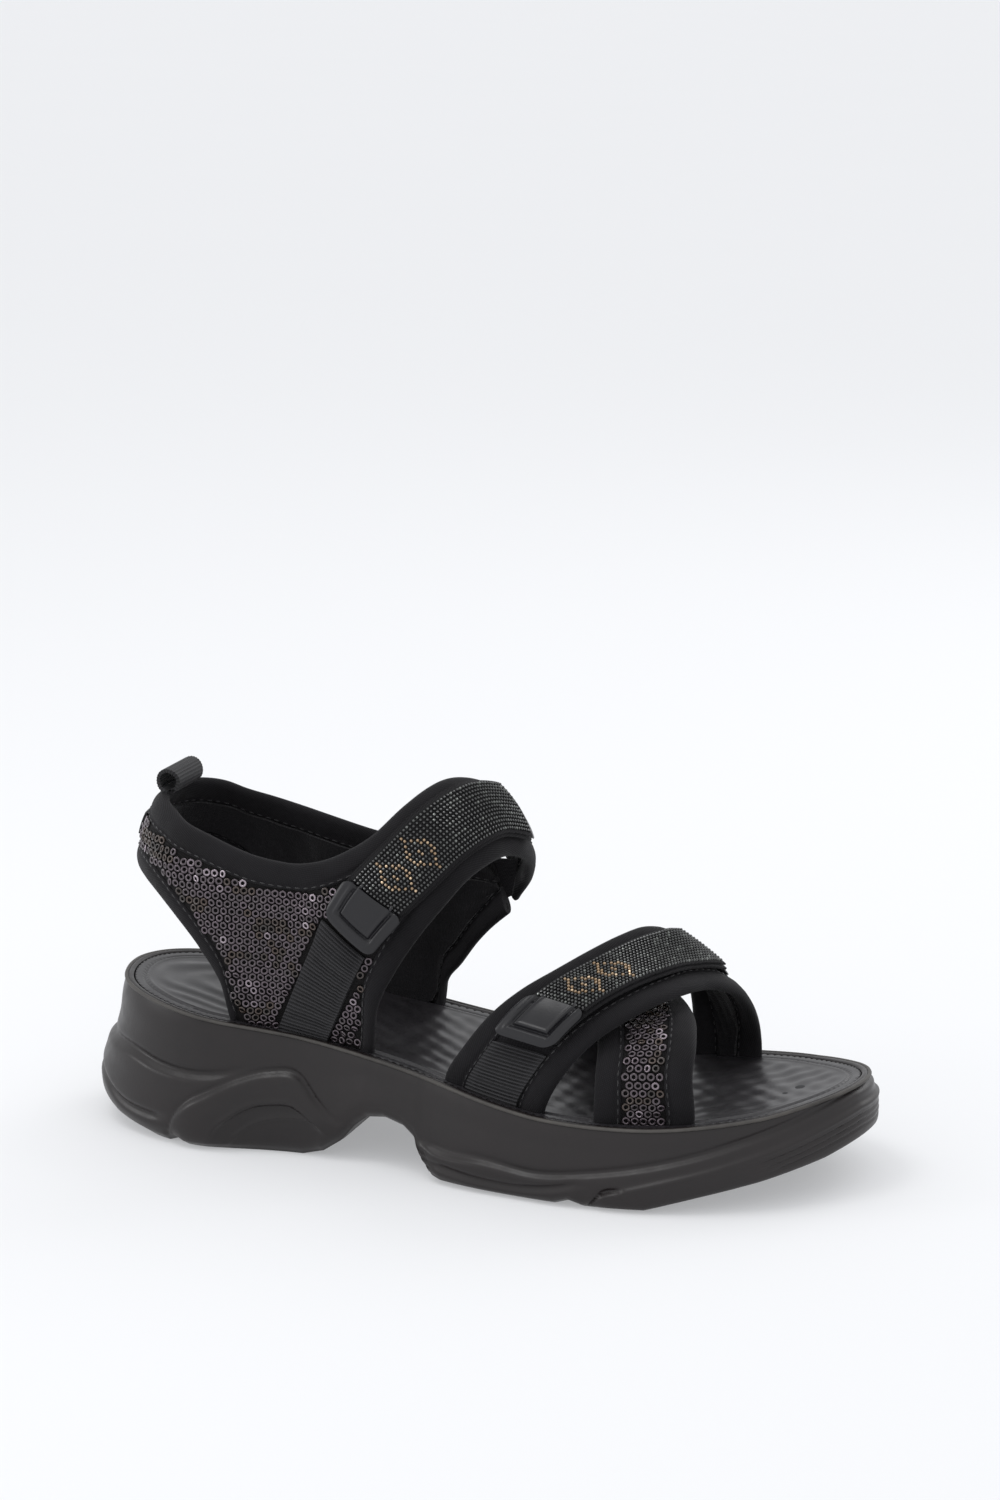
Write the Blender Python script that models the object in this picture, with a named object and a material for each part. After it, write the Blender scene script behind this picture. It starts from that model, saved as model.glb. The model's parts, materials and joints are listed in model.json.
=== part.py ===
# Strappy sport sandal, right foot.  Metres, +Z up, +X to the toe, -Y the outer (lateral) side.
# Patterns are drawn in millimetres on a master last and graded to the size that is made.
import math

import bpy
import bmesh
import numpy as np
from mathutils import Vector

MM = 0.001
MASTER_LENGTH = 278.0   # length over all of the master the patterns are drawn on
LENGTH = 265.0          # length over all of this size, women's EU 38
WIDTH_GRADE = 1.0       # widths against the master's, 1 is the standard fitting
GRADE = LENGTH / MASTER_LENGTH
GAP = 0.3               # air between neighbouring pieces
FOLD_GAP = 0.55         # air under a folded binding and over a lining, where the cloth curves
LIP = 2.2               # wall of the sole round the footbed
TUCK = 7.0              # how far each strap goes down between footbed and sole
RECESS = 11.0           # depth of the sole's recess below its rim
BOARD_T = 1.8           # insole board
COVER_T = 1.2           # footbed's top sheet
CLOTH_T = 1.2           # sequinned cloth and band cores
LINING_T = 1.3          # brushed lining under them
BIND_T = 0.9            # edge binding
BIND_W = 7.0            # width of the binding on each face
PATCH_T = 0.7           # hook patch, and loop patch
STRAP_T = 1.0           # hook strap's base
MESH_T = 0.8            # stone mesh on the strap
TAB_T = 1.8             # rubber tab
WEB_T = 1.1             # ribbed webbing
STRAP_W = 20.0
MESH_W = 18.0
PATCH_W = 11.0
TAB_W = 20.5
TAB_L = 15.0
WEB_W = 19.0
SWING_ROOM = 3.2        # left between a strap's pivot and its end tab, which lies below the strap
END_W = 10.0            # the end tab fits between the bindings
END_L = 9.0             # rubber tab over a strap's sewn end
STACK_LOW = -FOLD_GAP - max(LINING_T, BIND_T)
BASE_ROOM = 1.5         # more room at the foot of a strap, where it leaves the sole leaning out
BIND_TOP = CLOTH_T + FOLD_GAP + BIND_T
BASE_OUT = max(BIND_TOP, CLOTH_T + GAP + WEB_T)
LOOP_LO = CLOTH_T + GAP
HOOK_LO = LOOP_LO + PATCH_T + GAP
STRAP_LO = max(HOOK_LO + PATCH_T, BIND_TOP, LOOP_LO + WEB_T) + FOLD_GAP
MESH_LO = STRAP_LO + STRAP_T + GAP

# Plan of the sole's rim, heel tip to toe tip: (x, lateral y) and (x, medial y).
RIM_LATERAL = [(-2.4, 0.7), (5.7, -23), (37, -38), (78, -34), (113, -37.5), (150, -46.5), (182, -49),
               (204, -46), (234, -33), (256, -13), (265, 9)]
RIM_MEDIAL = [(-2.4, 0.7), (4, 17), (22, 28.5), (50, 34.5), (91, 35), (130, 36), (165, 42.5), (200, 45),
              (232, 43), (256, 28), (265, 9)]
RIM_TIP = (-2.4, 265.0)
RIM_HEIGHT = [(-3, 52.6), (20, 49.6), (40, 46.5), (85, 40.8), (125, 34.8), (165, 28.6), (205, 27.8),
              (240, 30.8), (266, 36.4)]
# Underside: heel block, arch and forefoot block, with the toe sprung up.
TREAD = [(-3, 6), (8, 2), (22, 0.2), (27, 0), (31, 1.6), (35, 0), (60, 0), (76, 0), (84, 2.2), (91, 7), (96, 13),
         (101, 17), (108, 18), (116, 16), (121, 12), (124.5, 5), (128.5, 1), (133, 0), (150, 0), (174, 0),
         (179, 1.6), (184, 0), (204, 0), (220, 4.5), (238, 9), (255, 14), (266, 19)]
# How far the side stands out from the rim, at each part of the way down it.
SIDE_STEPS = (0.0, 0.06, 0.3, 0.55, 0.78, 0.93, 1.0)
SIDE_OUT = (0.0, 0.9, 2.3, 3.5, 3.7, 2.6, 0.6)
HEEL_OUT = (0.0, 0.2, 0.9, 3.4, 6.0, 4.2, 0.6)
# Stations along the master: close together at the tips and at each turn of the underside.
STATIONS = (-2.4, -1.2, 2.5, 8, 15, 22, 27, 31, 35, 46, 60, 70, 76, 84, 91, 96, 101, 108, 116, 121, 124.5, 128.5,
            133, 150, 162, 174, 179, 184, 194, 204, 212, 220, 229, 238, 247, 255, 260.5, 264, 265)


def clear_scene():
    for old in list(bpy.data.objects):
        bpy.data.objects.remove(old, do_unlink=True)


def curve(points, at):
    """Smooth curve through points (first column is the knot) at the knots `at`."""
    table = np.array(points, float)
    knots, values = table[:, 0], table[:, 1:]
    slope = np.gradient(values, knots, axis=0)
    at = np.clip(np.asarray(at, float), knots[0], knots[-1])
    i = np.clip(np.searchsorted(knots, at, side="right") - 1, 0, len(knots) - 2)
    width = knots[i + 1] - knots[i]
    u = ((at - knots[i]) / width)[..., None]
    width = width[..., None]
    a = (1 + 2 * u) * (1 - u) ** 2
    b = u * (1 - u) ** 2 * width
    c = u * u * (3 - 2 * u)
    d = u * u * (u - 1) * width
    return a * values[i] + b * slope[i] + c * values[i + 1] + d * slope[i + 1]


def around(x):
    """Angle round an ellipse for a station x, so that the tips of the outline stay round."""
    low, high = RIM_TIP
    return np.arccos(np.clip(1 - 2 * (np.asarray(x, float) - low) / (high - low), -1, 1))


def rim_y(x, side):
    """Half of the rim: side -1 is lateral, +1 medial."""
    outline = RIM_LATERAL if side < 0 else RIM_MEDIAL
    knots = [(float(around(px)), py) for px, py in outline]
    return curve(knots, around(x))[..., 0]


def rim_z(x):
    return np.interp(x, *zip(*[(px, pz) for px, pz in RIM_HEIGHT])) * 0.3 + curve(RIM_HEIGHT, x)[..., 0] * 0.7


def tread_z(x):
    return np.interp(x, *zip(*TREAD))


def graded(points):
    """From the master's millimetres to this size's."""
    return np.asarray(points, float) * (GRADE, GRADE * WIDTH_GRADE, GRADE)


def material(name, colour, roughness, metallic=0.0):
    made = bpy.data.materials.new(name)
    made.use_nodes = True
    shader = made.node_tree.nodes["Principled BSDF"]
    shader.inputs["Base Color"].default_value = (*colour, 1.0)
    shader.inputs["Roughness"].default_value = roughness
    shader.inputs["Metallic"].default_value = metallic
    made.diffuse_color = (*colour, 1.0)
    return made


def solid(name, points, faces, look, parent, origin=(0, 0, 0), angle=35):
    """One closed piece from millimetre points, with its origin at `origin` (millimetres)."""
    origin = np.asarray(origin, float)
    mesh = bpy.data.meshes.new(name)
    mesh.from_pydata([tuple(p) for p in (np.asarray(points) - origin) * MM], [], faces)
    shape = bmesh.new()
    shape.from_mesh(mesh)
    bmesh.ops.recalc_face_normals(shape, faces=shape.faces)
    bmesh.ops.triangulate(shape, faces=[f for f in shape.faces if len(f.verts) > 4])
    shape.to_mesh(mesh)
    shape.free()
    mesh.shade_smooth()
    mesh.set_sharp_from_angle(angle=math.radians(angle))
    mesh.materials.append(look)
    made = bpy.data.objects.new(name, mesh)
    bpy.context.scene.collection.objects.link(made)
    made.parent = parent
    made.location = Vector(origin * MM) - Vector(parent["at"])
    return made


def tube_faces(rings, ring, caps):
    """Side faces of a sweep of `rings` closed rings of `ring` points, and its end caps."""
    faces = []
    for i in range(rings - 1):
        for j in range(ring):
            k = (j + 1) % ring
            faces.append((i * ring + j, i * ring + k, (i + 1) * ring + k, (i + 1) * ring + j))
    for cap in caps:
        faces.append(tuple(reversed(cap)))
        faces.append(tuple((rings - 1) * ring + c for c in cap))
    return faces


def sheet(name, outer, inner, look, parent, origin=(0, 0, 0)):
    """Closed sheet between two grids of points of the same shape."""
    n, m = outer.shape[:2]
    rings = np.concatenate([outer, inner[:, ::-1]], axis=1)
    caps = [(j, j + 1, 2 * m - 2 - j, 2 * m - 1 - j) for j in range(m - 1)]
    return solid(name, rings.reshape(-1, 3), tube_faces(n, 2 * m, caps), look, parent, origin)


class Pattern:
    """Curved cloth surface between a lower and an upper edge, drawn in matching pairs of points.

    It runs along s (0 to the last pair) and across t (0 lower, 1 upper). `belly` is how far the middle
    stands out, and `side` is -1 where the outside lies the other way.
    """

    def __init__(self, pairs, belly, side=1):
        table = np.array(pairs, float)
        index = np.arange(len(table))[:, None]
        self.last = len(table) - 1
        self.lower = np.hstack([index, graded(table[:, :3])])
        self.upper = np.hstack([index, graded(table[:, 3:])])
        self.belly = belly
        self.side = side

    def plain(self, s, t):
        low = curve(self.lower, s)
        high = curve(self.upper, s)
        along = curve(self.lower, np.minimum(s + 0.25, self.last)) - curve(self.lower, np.maximum(s - 0.25, 0))
        along = along + curve(self.upper, np.minimum(s + 0.25, self.last)) \
            - curve(self.upper, np.maximum(s - 0.25, 0))
        out = np.cross(along, high - low) * self.side
        out = out / np.linalg.norm(out, axis=-1, keepdims=True)
        t = np.asarray(t, float)[..., None]
        return low + (high - low) * t + out * (4 * self.belly * t * (1 - t))

    def at(self, s, t, lift=0.0):
        """Point on the pattern at (s, t), `lift` millimetres off its outside."""
        s, t = np.broadcast_arrays(np.asarray(s, float), np.asarray(t, float))
        here = self.plain(s, t)
        return here + self.normal(s, t) * np.asarray(lift, float)[..., None]

    def normal(self, s, t):
        step = 0.04
        ds = self.plain(np.minimum(s + step, self.last), t) - self.plain(np.maximum(s - step, 0), t)
        dt = self.plain(s, t + step) - self.plain(s, t - step)
        out = np.cross(ds, dt) * self.side
        return out / np.linalg.norm(out, axis=-1, keepdims=True)

    def across(self, s):
        """Length of the pattern across t at s."""
        return np.linalg.norm(self.plain(s, np.ones_like(s)) - self.plain(s, np.zeros_like(s)), axis=-1)

    def find(self, x, z):
        """(s, t) of the point of the pattern that lies at x and z in side view."""
        s, t = np.meshgrid(np.linspace(0, self.last * 0.75, 160), np.linspace(0, 1, 80), indexing="ij")
        grid = self.plain(s, t)
        near = (grid[..., 0] - x) ** 2 + (grid[..., 2] - z) ** 2
        i = np.unravel_index(np.argmin(near), near.shape)
        here = np.array([s[i], t[i]])
        for _ in range(4):
            base = self.plain(*here)[[0, 2]]
            ds = (self.plain(here[0] + 0.01, here[1])[[0, 2]] - base) / 0.01
            dt = (self.plain(here[0], here[1] + 0.01)[[0, 2]] - base) / 0.01
            here = here + np.linalg.solve(np.array([ds, dt]).T, np.array([x, z]) - base)
            here[0] = min(max(here[0], 0), self.last)
        return here


def layer(name, pattern, s, t, low, high, look, parent, origin=(0, 0, 0)):
    """Sheet of a pattern over grids s and t, from lift `low` to lift `high`."""
    return sheet(name, pattern.at(s, t, high), pattern.at(s, t, low), look, parent, origin)


def channel_ring(pattern, s, edge, low=0.0, high=CLOTH_T, width=BIND_W):
    """Section at each s of a binding folded round one edge of a stack from lift low to lift high."""
    s = np.asarray(s, float)
    way = 1 if edge == 0 else -1
    inner, outer = FOLD_GAP, FOLD_GAP + BIND_T
    places = [(width, high + inner), (width, high + outer), (-outer, high + outer), (-outer, low - outer),
              (width, low - outer), (width, low - inner), (-inner, low - inner), (-inner, high + inner)]
    return np.stack([pattern.at(s, edge + way * a / pattern.across(s), b) for a, b in places], axis=1)


CHANNEL_CAPS = [(0, 1, 2, 7), (2, 3, 6, 7), (3, 4, 5, 6)]


def binding(name, rings, look, parent):
    rings = np.asarray(rings)
    return solid(name, rings.reshape(-1, 3), tube_faces(len(rings), 8, CHANNEL_CAPS), look, parent)


def ribbon(name, pattern, ends, centre, width, low, high, look, parent, origin=(0, 0, 0), steps=12, corner=0.0,
           rows=3, lean=None):
    """Strip of a pattern of constant width from ends[0] to ends[1], its corners rounded to radius `corner`."""
    s = np.linspace(ends[0], ends[1], steps)
    mid = centre(s)
    run = np.linalg.norm(np.diff(pattern.plain(s, mid), axis=0), axis=1)
    length = np.concatenate([[0], np.cumsum(run)])
    if corner:
        marks = [0, corner * 0.12, corner * 0.45, corner]
        total = length[-1]
        wanted = np.array(marks + list(np.linspace(corner, total - corner, max(steps - 6, 2))[1:-1])
                          + [total - m for m in reversed(marks)])
        s = np.interp(wanted, length, s)
        length = wanted
        mid = centre(s)
    half = np.full_like(s, width / 2)
    if corner:
        near = np.minimum(np.minimum(length, length[-1] - length), corner)
        half = half - corner + np.sqrt(np.maximum(corner ** 2 - (corner - near) ** 2, 0))
    place = np.linspace(-1, 1, rows + 1)[None, :] * (half / width * 2)[:, None]
    t = mid[:, None] + (width / 2 / pattern.across(s))[:, None] * place
    slant = lean(s)[:, None] * place * width / STRAP_W if lean else 0 * t
    return layer(name, pattern, s[:, None] + slant, t, low, high, look, parent, origin)


def outline_points(inset):
    """Lateral and medial points of the rim's plan moved in by `inset`, at each station, graded."""
    x = np.array(STATIONS, float)
    pairs = []
    for side in (-1, 1):
        flat = np.stack([x, rim_y(x, side)], axis=1) * (GRADE, GRADE * WIDTH_GRADE)
        run = np.gradient(flat, axis=0)
        run[0] = (0, side)
        run[-1] = (0, -side)
        out = np.stack([-run[:, 1], run[:, 0]], axis=1) * side
        out = out / np.linalg.norm(out, axis=1, keepdims=True)
        moved = np.asarray(inset(x, side), float)[:, None] if callable(inset) else inset
        pairs.append(flat - out * moved)
    return x, pairs[0], pairs[1]


def loop_of(lateral, medial):
    """Closed ring heel - lateral - toe - medial from two halves that share their end points."""
    return np.concatenate([lateral, medial[-2:0:-1]])


def capped(name, rings, look, parent, cross=3, angle=35):
    """Closed body from rings of an outline, first and last ring closed by strips across the body.

    Each ring lists the lateral half and then the medial half backwards.
    """
    count = len(rings[0])
    n = len(STATIONS) - 1
    points = np.concatenate(rings)
    faces = tube_faces(len(rings), count, [])
    for start, ring in ((0, rings[0]), ((len(rings) - 1) * count, rings[-1])):
        rows = [[start + i] for i in range(n + 1)]
        for i in range(1, n):
            partner = start + (2 * n - i) % count
            a, b = ring[i], ring[(2 * n - i) % count]
            for k in range(1, cross):
                extra = a + (b - a) * k / cross
                rows[i].append(len(points))
                points = np.vstack([points, extra])
            rows[i].append(partner)
        for i in range(n):
            a, b = rows[i], rows[i + 1]
            if len(a) == 1:
                faces.extend((a[0], b[k], b[k + 1]) for k in range(cross))
            elif len(b) == 1:
                faces.extend((a[k], b[0], a[k + 1]) for k in range(cross))
            else:
                faces.extend((a[k], b[k], b[k + 1], a[k + 1]) for k in range(cross))
    return solid(name, points, faces, look, parent, angle=angle)


def with_height(plan, x, height):
    """Ring of 3-D points from the two halves of a plan and a height for each station."""
    lateral, medial = plan
    height = np.broadcast_to(height, x.shape) * 1.0
    return loop_of(np.column_stack([lateral, height]), np.column_stack([medial, height]))


def sole_unit(look, parent):
    x, *rim = outline_points(0)
    top = rim_z(x) * GRADE
    bottom = tread_z(x) * GRADE
    heel = np.exp(-np.maximum(x + 2.4, 0) / 16.0)
    rings = [with_height(outline_points(LIP)[1:], x, top - RECESS), with_height(outline_points(LIP)[1:], x, top)]
    for part, out, back in zip(SIDE_STEPS, SIDE_OUT, HEEL_OUT):
        reach = (out + back * heel) * GRADE
        rings.append(with_height(outline_points(lambda x, side: -reach)[1:], x, top + (bottom - top) * part))
    inner = outline_points(2.5)
    rings.append(with_height(inner[1:], x, bottom))
    return capped("sole_unit", rings, look, parent, cross=4)


# Where straps go down beside the footbed, as (first x, last x) on each side.
SLOTS = {-1: [(50, 101), (128, 169), (183, 219)], 1: [(50, 104), (147, 184), (193, 222)]}


def slot_depth(x, side):
    """Width of the slot left for the straps between footbed and sole at each station."""
    room = BASE_OUT + BASE_ROOM - STACK_LOW + 4 * GAP
    depth = np.zeros_like(x)
    for first, last in SLOTS[side]:
        inside = np.clip((x - first + 12) / 6, 0, 1) * np.clip((last + 12 - x) / 6, 0, 1)
        depth = np.maximum(depth, inside)
    return depth * room


def footbed(looks, parent):
    x, *_ = outline_points(0)
    floor = rim_z(x) * GRADE - RECESS
    board_low = floor + GAP
    board_top = board_low + BOARD_T
    inset = (lambda x, side: LIP + GAP + slot_depth(x, side))
    deep = outline_points(inset)[1:]
    capped("insole_board", [with_height(deep, x, board_low), with_height(deep, x, board_top)],
           looks["board"], parent)
    foam_low = board_top + GAP
    foam_top = rim_z(x) * GRADE - COVER_T - GAP
    soft = outline_points(lambda x, side: LIP + GAP + slot_depth(x, side) + 1.2)[1:]
    capped("footbed_foam", [with_height(deep, x, foam_low), with_height(deep, x, foam_top - 1.2),
                            with_height(soft, x, foam_top)], looks["foam"], parent)
    capped("footbed_cover", [with_height(deep, x, foam_top + GAP), with_height(deep, x, foam_top + GAP + 0.3),
                             with_height(soft, x, foam_top + GAP + COVER_T)], looks["footbed"], parent)


def base_point(x, side):
    """Foot of a strap at station x: inside the sole's lip and TUCK below its rim, in master millimetres."""
    y = abs(float(rim_y(x, side))) - (LIP + GAP + BASE_OUT + BASE_ROOM) / (GRADE * WIDTH_GRADE)
    z = float(rim_z(x)) - TUCK / GRADE
    return (x, side * y, z)


def rise_point(x, side, height):
    """Point above the foot of a strap, `height` above the rim."""
    foot = base_point(x, side)
    return (x, foot[1], float(rim_z(x)) + height)


def lateral_pattern():
    low = [(3.5, 0, 91), (6, -9, 91), (12.5, -17.5, 89.6), (21, -25, 86.2), (30, -29.5, 79.5), (39, -31, 69.5),
           (46.5, -31.5, 58), base_point(52.7, -1), base_point(68, -1), base_point(83, -1), base_point(98, -1),
           (102.5, -31.5, 56), (108.4, -30.5, 69.4), (115.7, -28, 81.5), (123.3, -23, 92.1), (129, -16, 99.9),
           (134, -7, 104.1), (136.5, 3, 104.3), (138.5, 14, 101), (137, 26, 94.5), (132.5, 35.5, 85.5),
           (127.5, 38.5, 78.5)]
    high = [(13, 0, 116.3), (14.3, -8, 116), (18, -15.5, 115), (24, -21.5, 113.2), (30.5, -26, 110.6),
            (40, -28.7, 108), (48.5, -29.8, 105.3), (56, -30.5, 103.3), (61.5, -30.6, 102.3), (67, -30.6, 101.7),
            (72.5, -30.5, 101.4), (78.5, -30.2, 102), (84.5, -29.3, 103.5), (91.5, -27.3, 106.7), (99.5, -23, 112),
            (107.8, -16, 120.9), (113.8, -6.5, 126.2), (118, 2.5, 127.3), (123, 12, 124.5), (127, 21, 117.5),
            (126.5, 31, 107), (121.5, 37, 98)]
    return Pattern([(*a, *b) for a, b in zip(low, high)], 3.0)


def medial_pattern():
    low = [(3.5, 0, 91), (6, 9, 91), (12.5, 17.5, 89.6), (21, 25, 86.2), (30, 28.5, 79.5), (39, 29.5, 69.5),
           (47, 30, 58), base_point(55, 1), base_point(78, 1), base_point(100.3, 1), (104.5, 30, 47.5),
           (109.5, 30.5, 54.5), (115, 30.5, 62.5), (121, 30.5, 69.5), (127.8, 29.8, 75.8)]
    high = [(13, 0, 116.3), (14.3, 8, 116.3), (18, 15.5, 115.8), (24, 21.5, 113.8), (30.5, 26, 110.3),
            (40, 28.5, 107.6), (51, 30, 104.6), (62, 30.5, 101.8), (76, 30.5, 98.6), (92, 30.5, 96),
            (99, 30.5, 95), (105.5, 30.3, 94), (111.3, 30, 93.4), (116.5, 29.7, 92.6), (120.8, 29, 91.8)]
    return Pattern([(*a, *b) for a, b in zip(low, high)], 2.0, side=-1)


def forefoot_pattern():
    front = [base_point(165.8, -1), rise_point(166.5, -1, 2), (172.5, -41, 42), (181.1, -38, 52.5),
             (189.8, -32.5, 59.2), (198.4, -23, 63.6), (205.3, -11, 65.1), (209.2, 1, 64), (212.8, 11, 61.2),
             (215.8, 22, 55.3), (217.5, 32.5, 45.1), (218, 38, 34), base_point(218, 1)]
    rear = [base_point(131, -1), rise_point(131.5, -1, 2), (138, -36, 46), (146, -33.5, 56.5), (154.5, -28, 64),
            (164, -20, 69.8), (173, -11, 75), (180.5, -1, 78.4), (186, 9, 79), (190.5, 19, 74.5),
            (194, 30, 62), (196, 37, 44), base_point(196, 1)]
    return Pattern([(*a, *b) for a, b in zip(front, rear)], 1.2)


def cross_pattern():
    front = [base_point(216, -1), rise_point(216.3, -1, 3), (216, -37, 44.5), (214.8, -29.5, 52), (210.5, -16, 56),
             (203.5, -2, 56.5), (196, 11, 55), (189.5, 23, 50), (184.5, 32, 42.5), rise_point(181, 1, 4),
             base_point(180, 1)]
    rear = [base_point(186, -1), rise_point(186.3, -1, 3), (186.2, -40, 42), (184.5, -32.5, 49.5), (179.5, -20, 56),
            (172.5, -7, 59.5), (165, 6, 59), (158.5, 18, 54.5), (153.5, 28, 46), rise_point(150.5, 1, 4),
            base_point(150, 1)]
    return Pattern([(*a, *b) for a, b in zip(front, rear)], 0.8)


FINE_COLUMNS = (5.0, 8.0)   # a quarter turns sharply here, where its edge meets the sole


def columns(first, last, fine=(0.0, 0.0)):
    """Columns shared by every layer, so that their facets lie parallel: two to each pair of points."""
    inside = [k / 4 for k in range(int(4 * last) + 1) if k % 2 == 0 or fine[0] < k / 4 < fine[1]]
    return np.array([first, *[s for s in inside if first + 0.1 < s < last - 0.1], last])


def cloth_rows(pattern, s, inner):
    """Rows of t across a pattern, with one where each binding ends and `inner` spaces between those."""
    edge = (BIND_W + 0.7) / pattern.across(s)
    between = edge[:, None] + (1 - 2 * edge)[:, None] * np.linspace(0, 1, inner + 1)
    return np.hstack([np.zeros((len(s), 1)), between, np.ones((len(s), 1))])


LATERAL_FOOT = 7.0      # pattern s where the lateral quarter meets the sole at its rear, and at its front
LATERAL_TOE = 10.0
MEDIAL_FOOT = 7.0
MEDIAL_TOE = 9.0
TAPE_LIFT = 0.5
SEAM = 0.03


def cloth_and_lining(cloth_name, lining_name, pattern, first, cloth, brushed, parent, inner=3,
                     fine=(0.0, 0.0)):
    """Cloth of a whole pattern, and its lining, which stops short of the bindings on both edges."""
    s = columns(first, pattern.last, fine)
    t = cloth_rows(pattern, s, inner)
    across = s[:, None] + 0 * t
    layer(cloth_name, pattern, across, t, 0, CLOTH_T, cloth, parent)
    layer(lining_name, pattern, across[:, 1:-1], t[:, 1:-1], -FOLD_GAP - LINING_T, -FOLD_GAP, brushed, parent)


def quarters(lateral, medial, looks, root):
    for name, pattern in (("lateral", lateral), ("medial", medial)):
        cloth_and_lining(f"{name}_quarter", f"{name}_lining", pattern, SEAM, looks["sequin"], looks["lining"], root,
                         fine=FINE_COLUMNS)

    def joined(edge, end_lateral, end_medial):
        a = channel_ring(lateral, columns(0, end_lateral, FINE_COLUMNS)[::-1], edge)
        b = channel_ring(medial, columns(0, end_medial, FINE_COLUMNS), edge)
        seam = (a[-1] + b[0]) / 2
        return np.concatenate([a[:-1], [seam], b[1:]])

    binding("collar_binding", joined(1, lateral.last, medial.last), looks["binding"], root)
    binding("heel_binding", joined(0, LATERAL_FOOT - 0.25, MEDIAL_FOOT - 0.25), looks["binding"], root)
    binding("lateral_front_binding",
            channel_ring(lateral, columns(LATERAL_TOE + 0.1, lateral.last), 0),
            looks["binding"], root)
    binding("medial_front_binding",
            channel_ring(medial, columns(MEDIAL_TOE + 0.1, medial.last), 0),
            looks["binding"], root)
    near = np.array([0, 0.5, 0.75])
    t = np.linspace(0.36, 0.64, 3)[None, :]
    lift = []
    for height in (LOOP_LO + TAPE_LIFT + PATCH_T, LOOP_LO + TAPE_LIFT):
        a = lateral.at(near[::-1][:, None] + 0 * t, t + 0 * near[:, None], height)
        b = medial.at(near[:, None] + 0 * t, t + 0 * near[:, None], height)
        middle = (a[-1] + b[0]) / 2
        lift.append(np.concatenate([a[:-1], [middle], b[1:]]))
    sheet("heel_tape", lift[0], lift[1], looks["binding"], root)


def seam_top(lateral, medial):
    """Top of the collar binding at the heel seam."""
    s = np.array([0.0])
    ring = (channel_ring(lateral, s, 1)[0] + channel_ring(medial, s, 1)[0]) / 2
    top = (ring[2] + ring[3]) / 2
    top[2] = ring[:, 2].max()
    return top


LOOP_WIDTH = 20.0
LOOP_HEIGHT = 8.0
LOOP_DEPTH = 8.5
LOOP_T = 1.2
LOOP_CLEAR = 1.1


def loop_profile(depth, height, foot):
    """Teardrop in the XZ plane, narrow at the foot."""
    points = []
    for k in range(17):
        turn = math.radians(-30 + 240 * k / 16)
        points.append((depth / 2 * math.cos(turn), height - depth / 2 + depth / 2 * math.sin(turn)))
    points.append((-foot, 0.0))
    points.append((foot, 0.0))
    return points


def pull_loop(at, look, parent):
    outer = loop_profile(LOOP_DEPTH, LOOP_HEIGHT, LOOP_T)
    inner = loop_profile(LOOP_DEPTH - 2 * LOOP_T, LOOP_HEIGHT - LOOP_T, 0.35)
    inner = [(x, max(z, 1.6)) for x, z in inner]
    count = len(outer)
    points = []
    for y in (-LOOP_WIDTH / 2, LOOP_WIDTH / 2):
        for outline in (outer, inner):
            points.extend((at[0] + x, at[1] + y, at[2] + z) for x, z in outline)
    faces = []
    for j in range(count):
        k = (j + 1) % count
        faces.append((j, k, count + k, count + j))
        faces.append((2 * count + k, 2 * count + j, 3 * count + j, 3 * count + k))
        faces.append((k, j, 2 * count + j, 2 * count + k))
        faces.append((count + j, count + k, 3 * count + k, 3 * count + j))
    return solid("pull_loop", points, faces, look, parent, origin=at)


def webbing(name, pattern, corners, look, parent, steps=9, rows=4):
    """Straight strip laid on the outside of a pattern between side-view corners (rear foot, front foot,
    front top, rear top) in master millimetres."""
    a, b, c, d = [np.array(p) * GRADE for p in corners]
    s = np.zeros((steps, rows))
    t = np.zeros((steps, rows))
    for i in range(steps):
        for j in range(rows):
            u, v = i / (steps - 1), j / (rows - 1)
            here = (a * (1 - v) + b * v) * (1 - u) + (d * (1 - v) + c * v) * u
            s[i, j], t[i, j] = pattern.find(*here)
    return layer(name, pattern, s, t, LOOP_LO, LOOP_LO + WEB_T, look, parent)


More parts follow.
